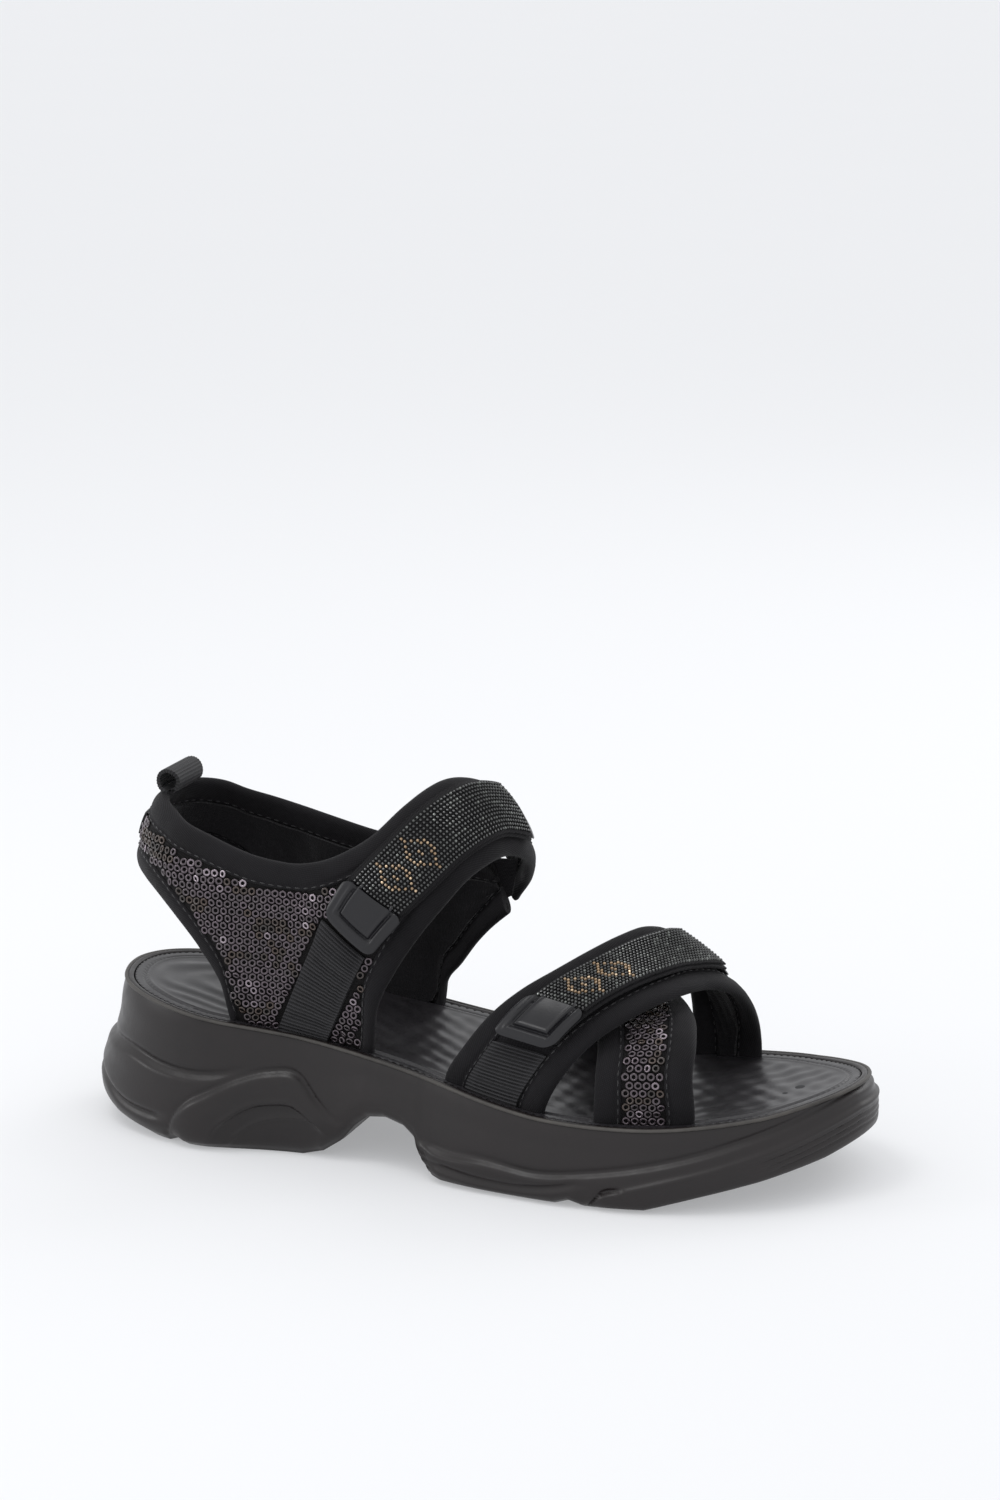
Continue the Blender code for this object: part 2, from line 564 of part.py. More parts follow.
class HookStrap:
    """Hook-and-loop strap over a pattern, from its sewn end (s at `root`) to its free end (`tip`)."""

    def __init__(self, label, pattern, tip, root, centre, lean=None):
        self.label, self.pattern, self.tip, self.root_s, self.centre = label, pattern, tip, root, centre
        self.lean = lean

    def pivot(self):
        """Middle of the line the strap folds on at its sewn end, and its direction across the strap."""
        s = np.array([self.root_s])
        mid = self.centre(s)
        part = 8.0 / self.pattern.across(s)
        a = self.pattern.at(s, mid - part, STRAP_LO)[0]
        b = self.pattern.at(s, mid + part, STRAP_LO)[0]
        return (a + b) / 2, (b - a) / np.linalg.norm(b - a)

    def s_after(self, s_from, length, way):
        """s reached after `length` millimetres along the middle of the strap."""
        s = s_from + way * np.linspace(0, 6, 400)
        s = s[(s >= 0) & (s <= self.pattern.last)]
        line = self.pattern.plain(s, self.centre(s))
        run = np.concatenate([[0], np.cumsum(np.linalg.norm(np.diff(line, axis=0), axis=1))])
        return float(np.interp(length, run, s))

    def build(self, looks, root, swing, origin):
        way = 1 if self.root_s > self.tip else -1
        tab_end = self.s_after(self.tip, TAB_L, way)
        mesh_from = self.s_after(self.tip, TAB_L + GAP, way)
        strap_from = self.s_after(self.tip, 2.0, way)
        strap_to = self.s_after(self.root_s, 0.9, -way)
        mesh_to = self.s_after(self.root_s, MESH_T + 1.4, -way)
        hook_from = self.s_after(self.tip, 6.0, way)
        hook_to = self.s_after(self.tip, 52.0, way)
        fold = SWING_ROOM
        end_from = self.s_after(self.root_s, fold, way)
        end_to = self.s_after(self.root_s, fold + END_L, way)
        name = self.label

        def strip(kind, ends, width, low, thick, look, parent, at, **more):
            ribbon(f"{name}_{kind}", self.pattern, ends, self.centre, width, low, low + thick, looks[look], parent,
                   at, lean=self.lean, **more)

        strip("loop_patch", (hook_from, strap_to), PATCH_W, LOOP_LO, PATCH_T, "loop", root, (0, 0, 0), steps=17,
              rows=2)
        strip("hook_patch", (hook_from, hook_to), PATCH_W - 1, HOOK_LO, PATCH_T, "hook", swing, origin, steps=15,
              rows=2)
        strip("strap", (strap_from, strap_to), STRAP_W, STRAP_LO, STRAP_T, "strap", swing, origin, steps=20)
        strip("stone_mesh", (mesh_from, mesh_to), MESH_W, MESH_LO, MESH_T, "mesh", swing, origin, steps=18)
        strip("tab", (self.tip, tab_end), TAB_W, MESH_LO, TAB_T, "tab", swing, origin, steps=9, corner=3.0)
        strip("end_tab", (end_from, end_to), END_W, LOOP_LO, TAB_T, "tab", root, (0, 0, 0), steps=8, corner=2.5)


def band(label, pattern, looks, root, cloth):
    cloth_and_lining(f"{label}_band", f"{label}_lining", pattern, 0.0, cloth, looks["lining"], root, inner=2)
    run = columns(0.0, pattern.last)
    binding(f"{label}_front_binding", channel_ring(pattern, run, 0), looks["binding"], root)
    binding(f"{label}_rear_binding", channel_ring(pattern, run, 1), looks["binding"], root)


def all_materials():
    return {
        "sole": material("sole_rubber", (0.036, 0.031, 0.034), 0.5),
        "board": material("board", (0.14, 0.11, 0.08), 0.8),
        "foam": material("foam", (0.03, 0.03, 0.032), 0.8),
        "footbed": material("footbed_skin", (0.038, 0.035, 0.038), 0.3),
        "sequin": material("sequin_cloth", (0.09, 0.07, 0.085), 0.3, 0.4),
        "lining": material("lining", (0.016, 0.015, 0.017), 0.9),
        "binding": material("binding", (0.022, 0.02, 0.024), 0.7),
        "loop": material("loop_pile", (0.02, 0.02, 0.022), 0.95),
        "hook": material("hooks", (0.02, 0.02, 0.022), 0.6),
        "strap": material("strap_base", (0.022, 0.02, 0.023), 0.7),
        "mesh": material("stone_mesh", (0.1, 0.105, 0.1), 0.2, 0.5),
        "tab": material("tab_rubber", (0.024, 0.022, 0.027), 0.45),
        "webbing": material("webbing", (0.03, 0.029, 0.033), 0.7),
    }


def empty_at(name, at, parent=None):
    """Empty at a place in millimetres; its pieces give their own places in the same millimetres."""
    made = bpy.data.objects.new(name, None)
    bpy.context.scene.collection.objects.link(made)
    made.location = Vector(at) * MM
    made.parent = parent
    made["at"] = (0.0, 0.0, 0.0) if parent is None else tuple(Vector(at) * MM)
    return made


def steady(value):
    return lambda s: np.full_like(np.asarray(s, float), value)


def ankle_line(s):
    """Middle of the ankle strap across the instep band."""
    return np.interp(s, [11.5, 13.0, 15.0, 18.0, 21.0], [0.45, 0.50, 0.52, 0.50, 0.50])


def ankle_lean(s):
    """How far the ankle strap's upper edge lies behind its middle, in columns."""
    return np.interp(s, [12.0, 16.0], [-0.3, 0.0])


def centre_of_bounds():
    """Middle of the sole's plan, which is the middle of the whole sandal."""
    _, lateral_edge, medial_edge = outline_points(-max(SIDE_OUT) * GRADE)
    heel_tip = RIM_TIP[0] - max(side + heel for side, heel in zip(SIDE_OUT, HEEL_OUT))
    toe_tip = RIM_TIP[1] + max(SIDE_OUT)
    return (heel_tip + toe_tip) / 2 * GRADE, (lateral_edge[:, 1].min() + medial_edge[:, 1].max()) / 2


def build():
    clear_scene()
    looks = all_materials()
    middle, sideways = centre_of_bounds()
    root = empty_at("sandal", (-middle, -sideways, 0))
    sole_unit(looks["sole"], root)
    footbed(looks, root)
    lateral, medial = lateral_pattern(), medial_pattern()
    quarters(lateral, medial, looks, root)
    webbing("ankle_webbing", lateral, [(65.5, 43), (84, 40.5), (99.5, 73.5), (85, 85.5)], looks["webbing"], root)
    forefoot, cross = forefoot_pattern(), cross_pattern()
    band("forefoot", forefoot, looks, root, looks["binding"])
    band("cross", cross, looks, root, looks["sequin"])
    ribbon("forefoot_webbing", forefoot, (0.1, 2.4), steady(0.5), WEB_W, LOOP_LO, LOOP_LO + WEB_T,
           looks["webbing"], root, steps=8)
    ankle = HookStrap("ankle", lateral, 11.45, 18.25, ankle_line, ankle_lean)
    toe = HookStrap("forefoot", forefoot, 2.6, 8.65, steady(0.5))
    for strap in (ankle, toe):
        at, _ = strap.pivot()
        swing = empty_at(f"{strap.label}_strap_pivot", at, root)
        strap.build(looks, root, swing, at)
    top = seam_top(lateral, medial)
    at = top + np.array([0, 0, LOOP_CLEAR])
    swing = empty_at("pull_loop_pivot", at, root)
    pull_loop(at, looks["binding"], swing)


build()
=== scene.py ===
import json
import math

import bpy
import numpy as np
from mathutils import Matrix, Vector


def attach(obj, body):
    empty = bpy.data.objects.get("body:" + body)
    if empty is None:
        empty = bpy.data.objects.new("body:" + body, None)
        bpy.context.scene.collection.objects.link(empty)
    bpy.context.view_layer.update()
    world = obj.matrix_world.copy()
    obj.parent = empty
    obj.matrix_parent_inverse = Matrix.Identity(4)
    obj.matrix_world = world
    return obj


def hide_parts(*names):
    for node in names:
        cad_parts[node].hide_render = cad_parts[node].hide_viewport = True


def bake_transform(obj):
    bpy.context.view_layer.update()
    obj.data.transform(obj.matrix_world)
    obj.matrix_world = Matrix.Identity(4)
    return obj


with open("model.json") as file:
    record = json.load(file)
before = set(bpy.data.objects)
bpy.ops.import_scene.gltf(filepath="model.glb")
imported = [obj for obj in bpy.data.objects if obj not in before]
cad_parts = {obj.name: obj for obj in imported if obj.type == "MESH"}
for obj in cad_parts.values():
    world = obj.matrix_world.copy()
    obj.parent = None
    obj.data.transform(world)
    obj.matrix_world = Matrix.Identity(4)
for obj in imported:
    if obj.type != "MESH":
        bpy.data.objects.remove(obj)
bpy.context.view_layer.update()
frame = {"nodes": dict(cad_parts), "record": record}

# patterns are drawn in millimetres on a master last and graded to this size
grading = {"masterLength": 278.0, "length": 265.0, "shift": (-122.3004, 1.894, 0.0)}
grade = grading["length"] / grading["masterLength"]
shift = np.array(grading["shift"])
dice = np.random.default_rng(7)


class Wire:
    def __init__(self, finish, socket):
        self.finish, self.socket = finish, socket

    def maths(self, kind, *others):
        return self.finish.calc(kind, self, *others)

    def __add__(self, other):
        return self.maths("ADD", other)

    def __sub__(self, other):
        return self.maths("SUBTRACT", other)

    def __rsub__(self, other):
        return self.finish.calc("SUBTRACT", other, self)

    def __mul__(self, other):
        return self.maths("MULTIPLY", other)

    def __pow__(self, other):
        return self.maths("POWER", other)

    __radd__, __rmul__ = __add__, __mul__


class Finish:
    def __init__(self, name, **constants):
        self.material = bpy.data.materials.new(name)
        self.material.use_nodes = True
        self.tree = self.material.node_tree
        self.shader = self.tree.nodes["Principled BSDF"]
        for socket, value in constants.items():
            self.shader.inputs[socket.replace("_", " ")].default_value = value

    def node(self, kind, settings=None, sockets=None, out=0):
        made = self.tree.nodes.new(kind)
        for key, value in (settings or {}).items():
            if key == "stops":
                ramp = made.color_ramp
                while len(ramp.elements) < len(value):
                    ramp.elements.new(0.5)
                for element, (place, colour) in zip(ramp.elements, value):
                    element.position = place
                    element.color = (*colour, 1.0)
            else:
                setattr(made, key, value)
        for key, value in (sockets or {}).items():
            if isinstance(value, Wire):
                self.tree.links.new(value.socket, made.inputs[key])
            else:
                made.inputs[key].default_value = value
        return Wire(self, made.outputs[out])

    def calc(self, kind, *values):
        return self.node("ShaderNodeMath", {"operation": kind}, dict(enumerate(values)))

    def feed(self, socket, wire):
        self.tree.links.new(wire.socket, self.shader.inputs[socket])

    def sheetPlace(self):
        return self.node("ShaderNodeUVMap", {"uv_map": "UVMap"})

    def sheetAxes(self):
        made = self.tree.nodes.new("ShaderNodeSeparateXYZ")
        self.tree.links.new(self.sheetPlace().socket, made.inputs[0])
        return Wire(self, made.outputs[0]), Wire(self, made.outputs[1])

    def objectPlace(self):
        return self.node("ShaderNodeTexCoord", out=3)

    def tone(self):
        return self.node("ShaderNodeAttribute", {"attribute_name": "tone"}, out=2)

    def noise(self, place, scale, detail=2.0, rough=0.5):
        return self.node("ShaderNodeTexNoise", None,
                         {"Vector": place, "Scale": scale, "Detail": detail, "Roughness": rough})

    def cells(self, place, scale):
        return self.node("ShaderNodeTexVoronoi", {"feature": "F1"}, {"Vector": place, "Scale": scale})

    def remap(self, wire, low, high, toLow=0.0, toHigh=1.0):
        return self.node("ShaderNodeMapRange", None, {"Value": wire, "From Min": low, "From Max": high,
                                                      "To Min": toLow, "To Max": toHigh})

    def paint(self, factor, *colours):
        first, second = (c if isinstance(c, Wire) else (*c, 1.0) for c in colours)
        self.feed("Base Color", self.node("ShaderNodeMix", {"data_type": "RGBA"},
                                          {0: factor, 6: first, 7: second}, out=2))

    def roughen(self, wire, toLow, toHigh, low=0.3, high=0.7):
        self.feed("Roughness", self.remap(wire, low, high, toLow, toHigh))

    def bump(self, height, distance, strength):
        self.feed("Normal", self.node("ShaderNodeBump", None, {"Strength": strength, "Distance": distance,
                                                               "Height": height}))


def wave(wire, pitch):
    return (wire * (2 * math.pi / pitch)).maths("SINE") * 0.5 + 0.5


def tinted(colour, times, more=0.0):
    return tuple(c * times + more for c in colour)


webbingShape = {"pitch": 1.25, "depth": 0.26, "wide": 19.0, "steps": 170, "rows": 16, "coarse": (18, 6),
                "corners": ((65.5, 43), (84, 40.5), (99.5, 73.5), (85, 85.5))}


def knitFinish(name, colour, roughness=0.78, pitch=0.55):
    f = Finish(name, Sheen_Weight=0.05, Sheen_Roughness=0.45, Specular_IOR_Level=0.16)
    along, across = f.sheetAxes()
    rows = wave(along + across * 0.5, pitch) * wave(across - along * 0.35, pitch * 1.25)
    fuzz = f.noise(f.sheetPlace(), 3.5, 3.0)
    wear = f.noise(f.objectPlace(), 55.0, 3.0)
    f.paint(f.remap(rows * 0.55 + wear * 0.6, 0.2, 0.9), tinted(colour, 0.62), tinted(colour, 1.75, 0.004))
    f.roughen(fuzz, roughness - 0.1, roughness + 0.08)
    f.bump(rows * 0.8 + fuzz * 0.7, 0.00012, 0.9)
    return f.material


def webbingFinish(name, colour):
    f = Finish(name, Sheen_Weight=0.04, Specular_IOR_Level=0.28)
    along, across = f.sheetAxes()
    yarn = wave(across, 0.62) * 0.35 + wave(along, webbingShape["pitch"]) * 0.65
    grain = f.noise(f.sheetPlace(), 4.0, 3.0)
    f.paint(f.remap(yarn * 0.8 + grain * 0.3, 0.2, 0.95), tinted(colour, 0.15), tinted(colour, 2.1, 0.004))
    f.roughen(grain, 0.5, 0.7)
    f.bump(yarn + grain * 0.4, 0.00015, 0.8)
    return f.material


def rubberFinish(name, colour, roughness, grainSize=900.0, tint=(0.0, 0.0, 0.0), specular=0.36):
    f = Finish(name, Specular_IOR_Level=specular)
    place = f.objectPlace()
    grain = f.noise(place, grainSize)
    cloud = f.noise(place, 22.0, 4.0, 0.6)
    fine = f.noise(place, 260.0, 3.0)
    light = tuple(c * 1.22 + t for c, t in zip(colour, tint))
    f.paint(f.remap(cloud * 0.75 + fine * 0.25, 0.3, 0.7), tinted(colour, 0.82), light)
    f.roughen(cloud * 0.5 + fine * 0.5, roughness - 0.07, roughness + 0.09)
    f.bump(grain * 0.6 + fine * 0.4, 0.00009, 0.5)
    return f.material


def footbedFinish(name, colour):
    f = Finish(name, Specular_IOR_Level=0.55, Coat_Roughness=0.3, Coat_Weight=0.12)
    place = f.objectPlace()
    pebbles = f.cells(place, 1400.0)
    cloud = f.noise(place, 30.0, 4.0)
    wear = f.noise(place, 120.0, 4.0, 0.6)
    f.paint(f.remap(cloud, 0.35, 0.7), colour, tinted(colour, 1.45, 0.004))
    f.roughen(wear * 0.6 + cloud * 0.4, 0.38, 0.52)
    f.bump(pebbles * 0.5 + wear * 0.5, 0.00007, 0.5)
    return f.material


def pileFinish(name, colour, size=2.2, depth=0.00035):
    f = Finish(name, Sheen_Weight=0.14, Sheen_Roughness=0.5, Specular_IOR_Level=0.1, Roughness=0.92)
    place = f.sheetPlace()
    loops = f.cells(place, size)
    fluff = f.noise(place, 1.3, 4.0, 0.65)
    crease = f.noise(f.objectPlace(), 60.0, 4.0, 0.6)
    f.paint(f.remap(loops * 0.4 + fluff * 0.4 + crease * 0.35, 0.3, 0.85), tinted(colour, 0.45),
            tinted(colour, 2.0, 0.003))
    f.bump(fluff * 0.6 + loops * 0.6 + crease, depth, 0.8)
    return f.material


def sequinFinish(name):
    f = Finish(name, Specular_IOR_Level=0.75, Coat_Roughness=0.12, Coat_Weight=0.5)
    tone = f.tone()
    # dark brown, plum brown, slate plum, plum, and a bright silver that paints the highlights of glinting
    # sequins
    stops = [(0.0, (0.006, 0.004, 0.003)), (0.16, (0.045, 0.026, 0.016)), (0.24, (0.050, 0.040, 0.044)),
             (0.75, (0.105, 0.082, 0.097)), (1.0, (0.42, 0.36, 0.40))]
    cloud = f.noise(f.objectPlace(), 900.0)
    f.paint(cloud * 0.25, f.node("ShaderNodeValToRGB", {"stops": stops}, {"Fac": tone}), (0.05, 0.04, 0.045))
    f.feed("Metallic", f.remap(tone, 0.0, 1.0, 0.45, 0.9))
    f.roughen(cloud, 0.2, 0.3)
    return f.material


def stoneFinish(name, dark, light, metallic):
    f = Finish(name, Specular_IOR_Level=0.8, Coat_Roughness=0.05, Coat_Weight=0.7)
    tone = f.tone()
    f.paint(tone ** 1.6, dark, light)
    f.roughen(tone, 0.30, 0.12, 0.0, 1.0)
    f.feed("Metallic", f.remap(tone, 0.0, 1.0, metallic * 0.4, metallic))
    return f.material


def threadFinish(name, colour):
    f = Finish(name, Sheen_Weight=0.2, Specular_IOR_Level=0.4)
    twist = f.noise(f.objectPlace(), 4000.0)
    f.paint(twist, tinted(colour, 0.6), tinted(colour, 1.5))
    f.roughen(twist, 0.45, 0.6)
    f.bump(twist, 0.00006, 0.5)
    return f.material


finishes = {
    "sole": rubberFinish("moulded sole", (0.0085, 0.0064, 0.0066), 0.36, 1300.0, (0.002, 0.001, 0.001), 0.42),
    "welt": rubberFinish("speckled welt", (0.022, 0.020, 0.019), 0.5, 2600.0, (0.06, 0.056, 0.050)),
    "footbed": footbedFinish("footbed sheet", (0.0100, 0.0088, 0.0105)),
    "foam": rubberFinish("foam core", (0.03, 0.03, 0.032), 0.85),
    "board": rubberFinish("fibre board", (0.12, 0.09, 0.065), 0.85, 500.0),
    "binding": knitFinish("stretch binding", (0.0070, 0.0064, 0.0076)),
    "band": knitFinish("band cloth", (0.0062, 0.0057, 0.0068), 0.82, 0.8),
    "net": knitFinish("sequin net", (0.0040, 0.0034, 0.0036), 0.85, 0.7),
    "lining": pileFinish("brushed lining", (0.0050, 0.0046, 0.0054)),
    "pile": pileFinish("loop pile", (0.006, 0.0056, 0.0062), 1.4, 0.0005),
    "hooks": rubberFinish("hook tape", (0.016, 0.016, 0.017), 0.55, 2500.0),
    "webbing": webbingFinish("ribbed webbing", (0.0125, 0.012, 0.0135)),
    "tape": knitFinish("strap tape", (0.0068, 0.0063, 0.0072), 0.72, 0.5),
    "tab": rubberFinish("tab rubber", (0.0058, 0.0055, 0.0072), 0.34, 1800.0, (0.0006, 0.0006, 0.001), 0.45),
    "sequin": sequinFinish("sequins"),
    "stone": stoneFinish("black stones", (0.0030, 0.0034, 0.0033), (0.15, 0.16, 0.148), 0.45),
    "gold": stoneFinish("gold stones", (0.30, 0.20, 0.11), (0.86, 0.66, 0.44), 0.7),
    "thread": threadFinish("thread", (0.014, 0.013, 0.0145)),
}


def lineHeight(points, x):
    return np.interp(x, *zip(*points))


def curveAt(points, at):
    # a smooth curve through rows of (place, value or values)
    table = np.array(points, float)
    knots, values = table[:, 0], table[:, 1:]
    slope = np.gradient(values, knots, axis=0)
    at = np.clip(np.asarray(at, float), knots[0], knots[-1])
    i = np.clip(np.searchsorted(knots, at, side="right") - 1, 0, len(knots) - 2)
    width = knots[i + 1] - knots[i]
    u = ((at - knots[i]) / width)[..., None]
    width = width[..., None]
    return ((1 + 2 * u) * (1 - u) ** 2 * values[i] + u * (1 - u) ** 2 * width * slope[i]
            + u * u * (3 - 2 * u) * values[i + 1] + u * u * (u - 1) * width * slope[i + 1])


def softHeight(points, x):
    return curveAt(points, x)[..., 0]


def runAlong(line):
    # distance from the first point to each point of a line
    return np.concatenate([[0], np.cumsum(np.linalg.norm(np.diff(line, axis=0), axis=1))])


def unit(vectors):
    return vectors / np.linalg.norm(vectors, axis=-1, keepdims=True)


rim = {
    "lateral": [(-2.4, 0.7), (5.7, -23), (37, -38), (78, -34), (113, -37.5), (150, -46.5), (182, -49),
                (204, -46), (234, -33), (256, -13), (265, 9)],
    "medial": [(-2.4, 0.7), (4, 17), (22, 28.5), (50, 34.5), (91, 35), (130, 36), (165, 42.5), (200, 45),
               (232, 43), (256, 28), (265, 9)],
    "tips": (-2.4, 265.0),
    "height": [(-3, 52.6), (20, 49.6), (40, 46.5), (85, 40.8), (125, 34.8), (165, 28.6), (205, 27.8),
               (240, 30.8), (266, 36.4)],
    "lip": 2.2, "recess": 11.0, "tuck": 7.0,
}
layers = {"gap": 0.3, "foldGap": 0.55, "cloth": 1.2, "lining": 1.3, "binding": 0.9, "patch": 0.7, "strap": 1.0,
          "mesh": 0.8, "tab": 1.8, "webbing": 1.1, "baseRoom": 1.5}
bindTop = layers["cloth"] + layers["foldGap"] + layers["binding"]
loopLift = layers["cloth"] + layers["gap"]
baseOut = max(bindTop, loopLift + layers["webbing"])
hookLift = loopLift + layers["patch"] + layers["gap"]
strapLift = max(hookLift + layers["patch"], bindTop, loopLift + layers["webbing"]) + layers["foldGap"]
meshLift = strapLift + layers["strap"] + layers["gap"]


def aroundTip(x):
    low, high = rim["tips"]
    return np.arccos(np.clip(1 - 2 * (np.asarray(x, float) - low) / (high - low), -1, 1))


def rimY(x, side):
    outline = rim["lateral"] if side < 0 else rim["medial"]
    return softHeight([(float(aroundTip(px)), py) for px, py in outline], aroundTip(x))


def rimZ(x):
    return lineHeight(rim["height"], x) * 0.3 + softHeight(rim["height"], x) * 0.7


def basePoint(x, side):
    y = abs(float(rimY(x, side))) - (rim["lip"] + layers["gap"] + baseOut + layers["baseRoom"]) / grade
    return (x, side * y, float(rimZ(x)) - rim["tuck"] / grade)


def risePoint(x, side, height):
    return (x, basePoint(x, side)[1], float(rimZ(x)) + height)


class Cloth:
    # a sheet between two edges: s counts along their points, t goes from the lower to the upper edge
    def __init__(self, low, high, belly, side=1):
        index = np.arange(len(low))[:, None]
        self.last = len(low) - 1
        self.lower = np.hstack([index, np.array(low, float) * grade])
        self.upper = np.hstack([index, np.array(high, float) * grade])
        self.belly, self.side = belly, side

    def plain(self, s, t):
        low, high = curveAt(self.lower, s), curveAt(self.upper, s)
        ahead, behind = np.minimum(s + 0.25, self.last), np.maximum(s - 0.25, 0)
        along = (curveAt(self.lower, ahead) - curveAt(self.lower, behind)
                 + curveAt(self.upper, ahead) - curveAt(self.upper, behind))
        out = unit(np.cross(along, high - low) * self.side)
        t = np.asarray(t, float)[..., None]
        return low + (high - low) * t + out * (4 * self.belly * t * (1 - t))

    def normal(self, s, t):
        step = 0.04
        ds = self.plain(np.minimum(s + step, self.last), t) - self.plain(np.maximum(s - step, 0), t)
        dt = self.plain(s, t + step) - self.plain(s, t - step)
        return unit(np.cross(ds, dt) * self.side)

    def at(self, s, t, lift=0.0):
        s, t = np.broadcast_arrays(np.asarray(s, float), np.asarray(t, float))
        return self.plain(s, t) + self.normal(s, t) * np.asarray(lift, float)[..., None]

    def across(self, s):
        s = np.asarray(s, float)
        return np.linalg.norm(self.plain(s, np.ones_like(s)) - self.plain(s, np.zeros_like(s)), axis=-1)

    def evenly(self, first, last, t, spacing, lift=0.0):
        # values of s at even distances along a line of constant t, and those distances
        s = np.linspace(first, last, 900)
        run = runAlong(self.at(s, np.full_like(s, t) if np.isscalar(t) else t(s), lift))
        want = np.linspace(0, run[-1], max(int(round(run[-1] / spacing)), 2) + 1)
        return np.interp(want, run, s), want

    def find(self, x, z):
        # s and t of the point seen at x and z from the side
        s, t = np.meshgrid(np.linspace(0, self.last * 0.75, 160), np.linspace(0, 1, 80), indexing="ij")
        grid = self.plain(s, t)
        i = np.unravel_index(np.argmin((grid[..., 0] - x) ** 2 + (grid[..., 2] - z) ** 2), s.shape)
        here = np.array([s[i], t[i]])
        for _ in range(4):
            base = self.plain(*here)[[0, 2]]
            ds = (self.plain(here[0] + 0.01, here[1])[[0, 2]] - base) / 0.01
            dt = (self.plain(here[0], here[1] + 0.01)[[0, 2]] - base) / 0.01
            here = here + np.linalg.solve(np.array([ds, dt]).T, np.array([x, z]) - base)
            here[0] = min(max(here[0], 0), self.last)
        return here


lateral = Cloth(
    [(3.5, 0, 91), (6, -9, 91), (12.5, -17.5, 89.6), (21, -25, 86.2), (30, -29.5, 79.5), (39, -31, 69.5),
     (46.5, -31.5, 58), basePoint(52.7, -1), basePoint(68, -1), basePoint(83, -1), basePoint(98, -1),
     (102.5, -31.5, 56), (108.4, -30.5, 69.4), (115.7, -28, 81.5), (123.3, -23, 92.1), (129, -16, 99.9),
     (134, -7, 104.1), (136.5, 3, 104.3), (138.5, 14, 101), (137, 26, 94.5), (132.5, 35.5, 85.5),
     (127.5, 38.5, 78.5)],
    [(13, 0, 116.3), (14.3, -8, 116), (18, -15.5, 115), (24, -21.5, 113.2), (30.5, -26, 110.6),
     (40, -28.7, 108), (48.5, -29.8, 105.3), (56, -30.5, 103.3), (61.5, -30.6, 102.3), (67, -30.6, 101.7),
     (72.5, -30.5, 101.4), (78.5, -30.2, 102), (84.5, -29.3, 103.5), (91.5, -27.3, 106.7), (99.5, -23, 112),
     (107.8, -16, 120.9), (113.8, -6.5, 126.2), (118, 2.5, 127.3), (123, 12, 124.5), (127, 21, 117.5),
     (126.5, 31, 107), (121.5, 37, 98)], 3.0)
medial = Cloth(
    [(3.5, 0, 91), (6, 9, 91), (12.5, 17.5, 89.6), (21, 25, 86.2), (30, 28.5, 79.5), (39, 29.5, 69.5),
     (47, 30, 58), basePoint(55, 1), basePoint(78, 1), basePoint(100.3, 1), (104.5, 30, 47.5),
     (109.5, 30.5, 54.5), (115, 30.5, 62.5), (121, 30.5, 69.5), (127.8, 29.8, 75.8)],
    [(13, 0, 116.3), (14.3, 8, 116.3), (18, 15.5, 115.8), (24, 21.5, 113.8), (30.5, 26, 110.3),
     (40, 28.5, 107.6), (51, 30, 104.6), (62, 30.5, 101.8), (76, 30.5, 98.6), (92, 30.5, 96),
     (99, 30.5, 95), (105.5, 30.3, 94), (111.3, 30, 93.4), (116.5, 29.7, 92.6), (120.8, 29, 91.8)], 2.0, -1)
forefoot = Cloth(
    [basePoint(165.8, -1), risePoint(166.5, -1, 2), (172.5, -41, 42), (181.1, -38, 52.5),
     (189.8, -32.5, 59.2), (198.4, -23, 63.6), (205.3, -11, 65.1), (209.2, 1, 64), (212.8, 11, 61.2),
     (215.8, 22, 55.3), (217.5, 32.5, 45.1), (218, 38, 34), basePoint(218, 1)],
    [basePoint(131, -1), risePoint(131.5, -1, 2), (138, -36, 46), (146, -33.5, 56.5), (154.5, -28, 64),
     (164, -20, 69.8), (173, -11, 75), (180.5, -1, 78.4), (186, 9, 79), (190.5, 19, 74.5),
     (194, 30, 62), (196, 37, 44), basePoint(196, 1)], 1.2)
crossing = Cloth(
    [basePoint(216, -1), risePoint(216.3, -1, 3), (216, -37, 44.5), (214.8, -29.5, 52), (210.5, -16, 56),
     (203.5, -2, 56.5), (196, 11, 55), (189.5, 23, 50), (184.5, 32, 42.5), risePoint(181, 1, 4),
     basePoint(180, 1)],
    [basePoint(186, -1), risePoint(186.3, -1, 3), (186.2, -40, 42), (184.5, -32.5, 49.5), (179.5, -20, 56),
     (172.5, -7, 59.5), (165, 6, 59), (158.5, 18, 54.5), (153.5, 28, 46), risePoint(150.5, 1, 4),
     basePoint(150, 1)], 0.8)


def deselectAll():
    bpy.ops.object.select_all(action="DESELECT")


def toFrame(points):
    return (np.asarray(points, float) + shift) * 0.001


def makeActive(piece):
    deselectAll()
    piece.select_set(True)
    bpy.context.view_layer.objects.active = piece


def spread(*rows):
    # flat coordinates of a piece, from its distances along and across
    return np.stack(np.broadcast_arrays(*rows), axis=-1)


def inEditMode(*steps):
    bpy.ops.object.mode_set(mode="EDIT")
    for step, settings in steps:
        bpy.ops.mesh.select_all(action="SELECT")
        step(**settings)
    bpy.ops.object.mode_set(mode="OBJECT")


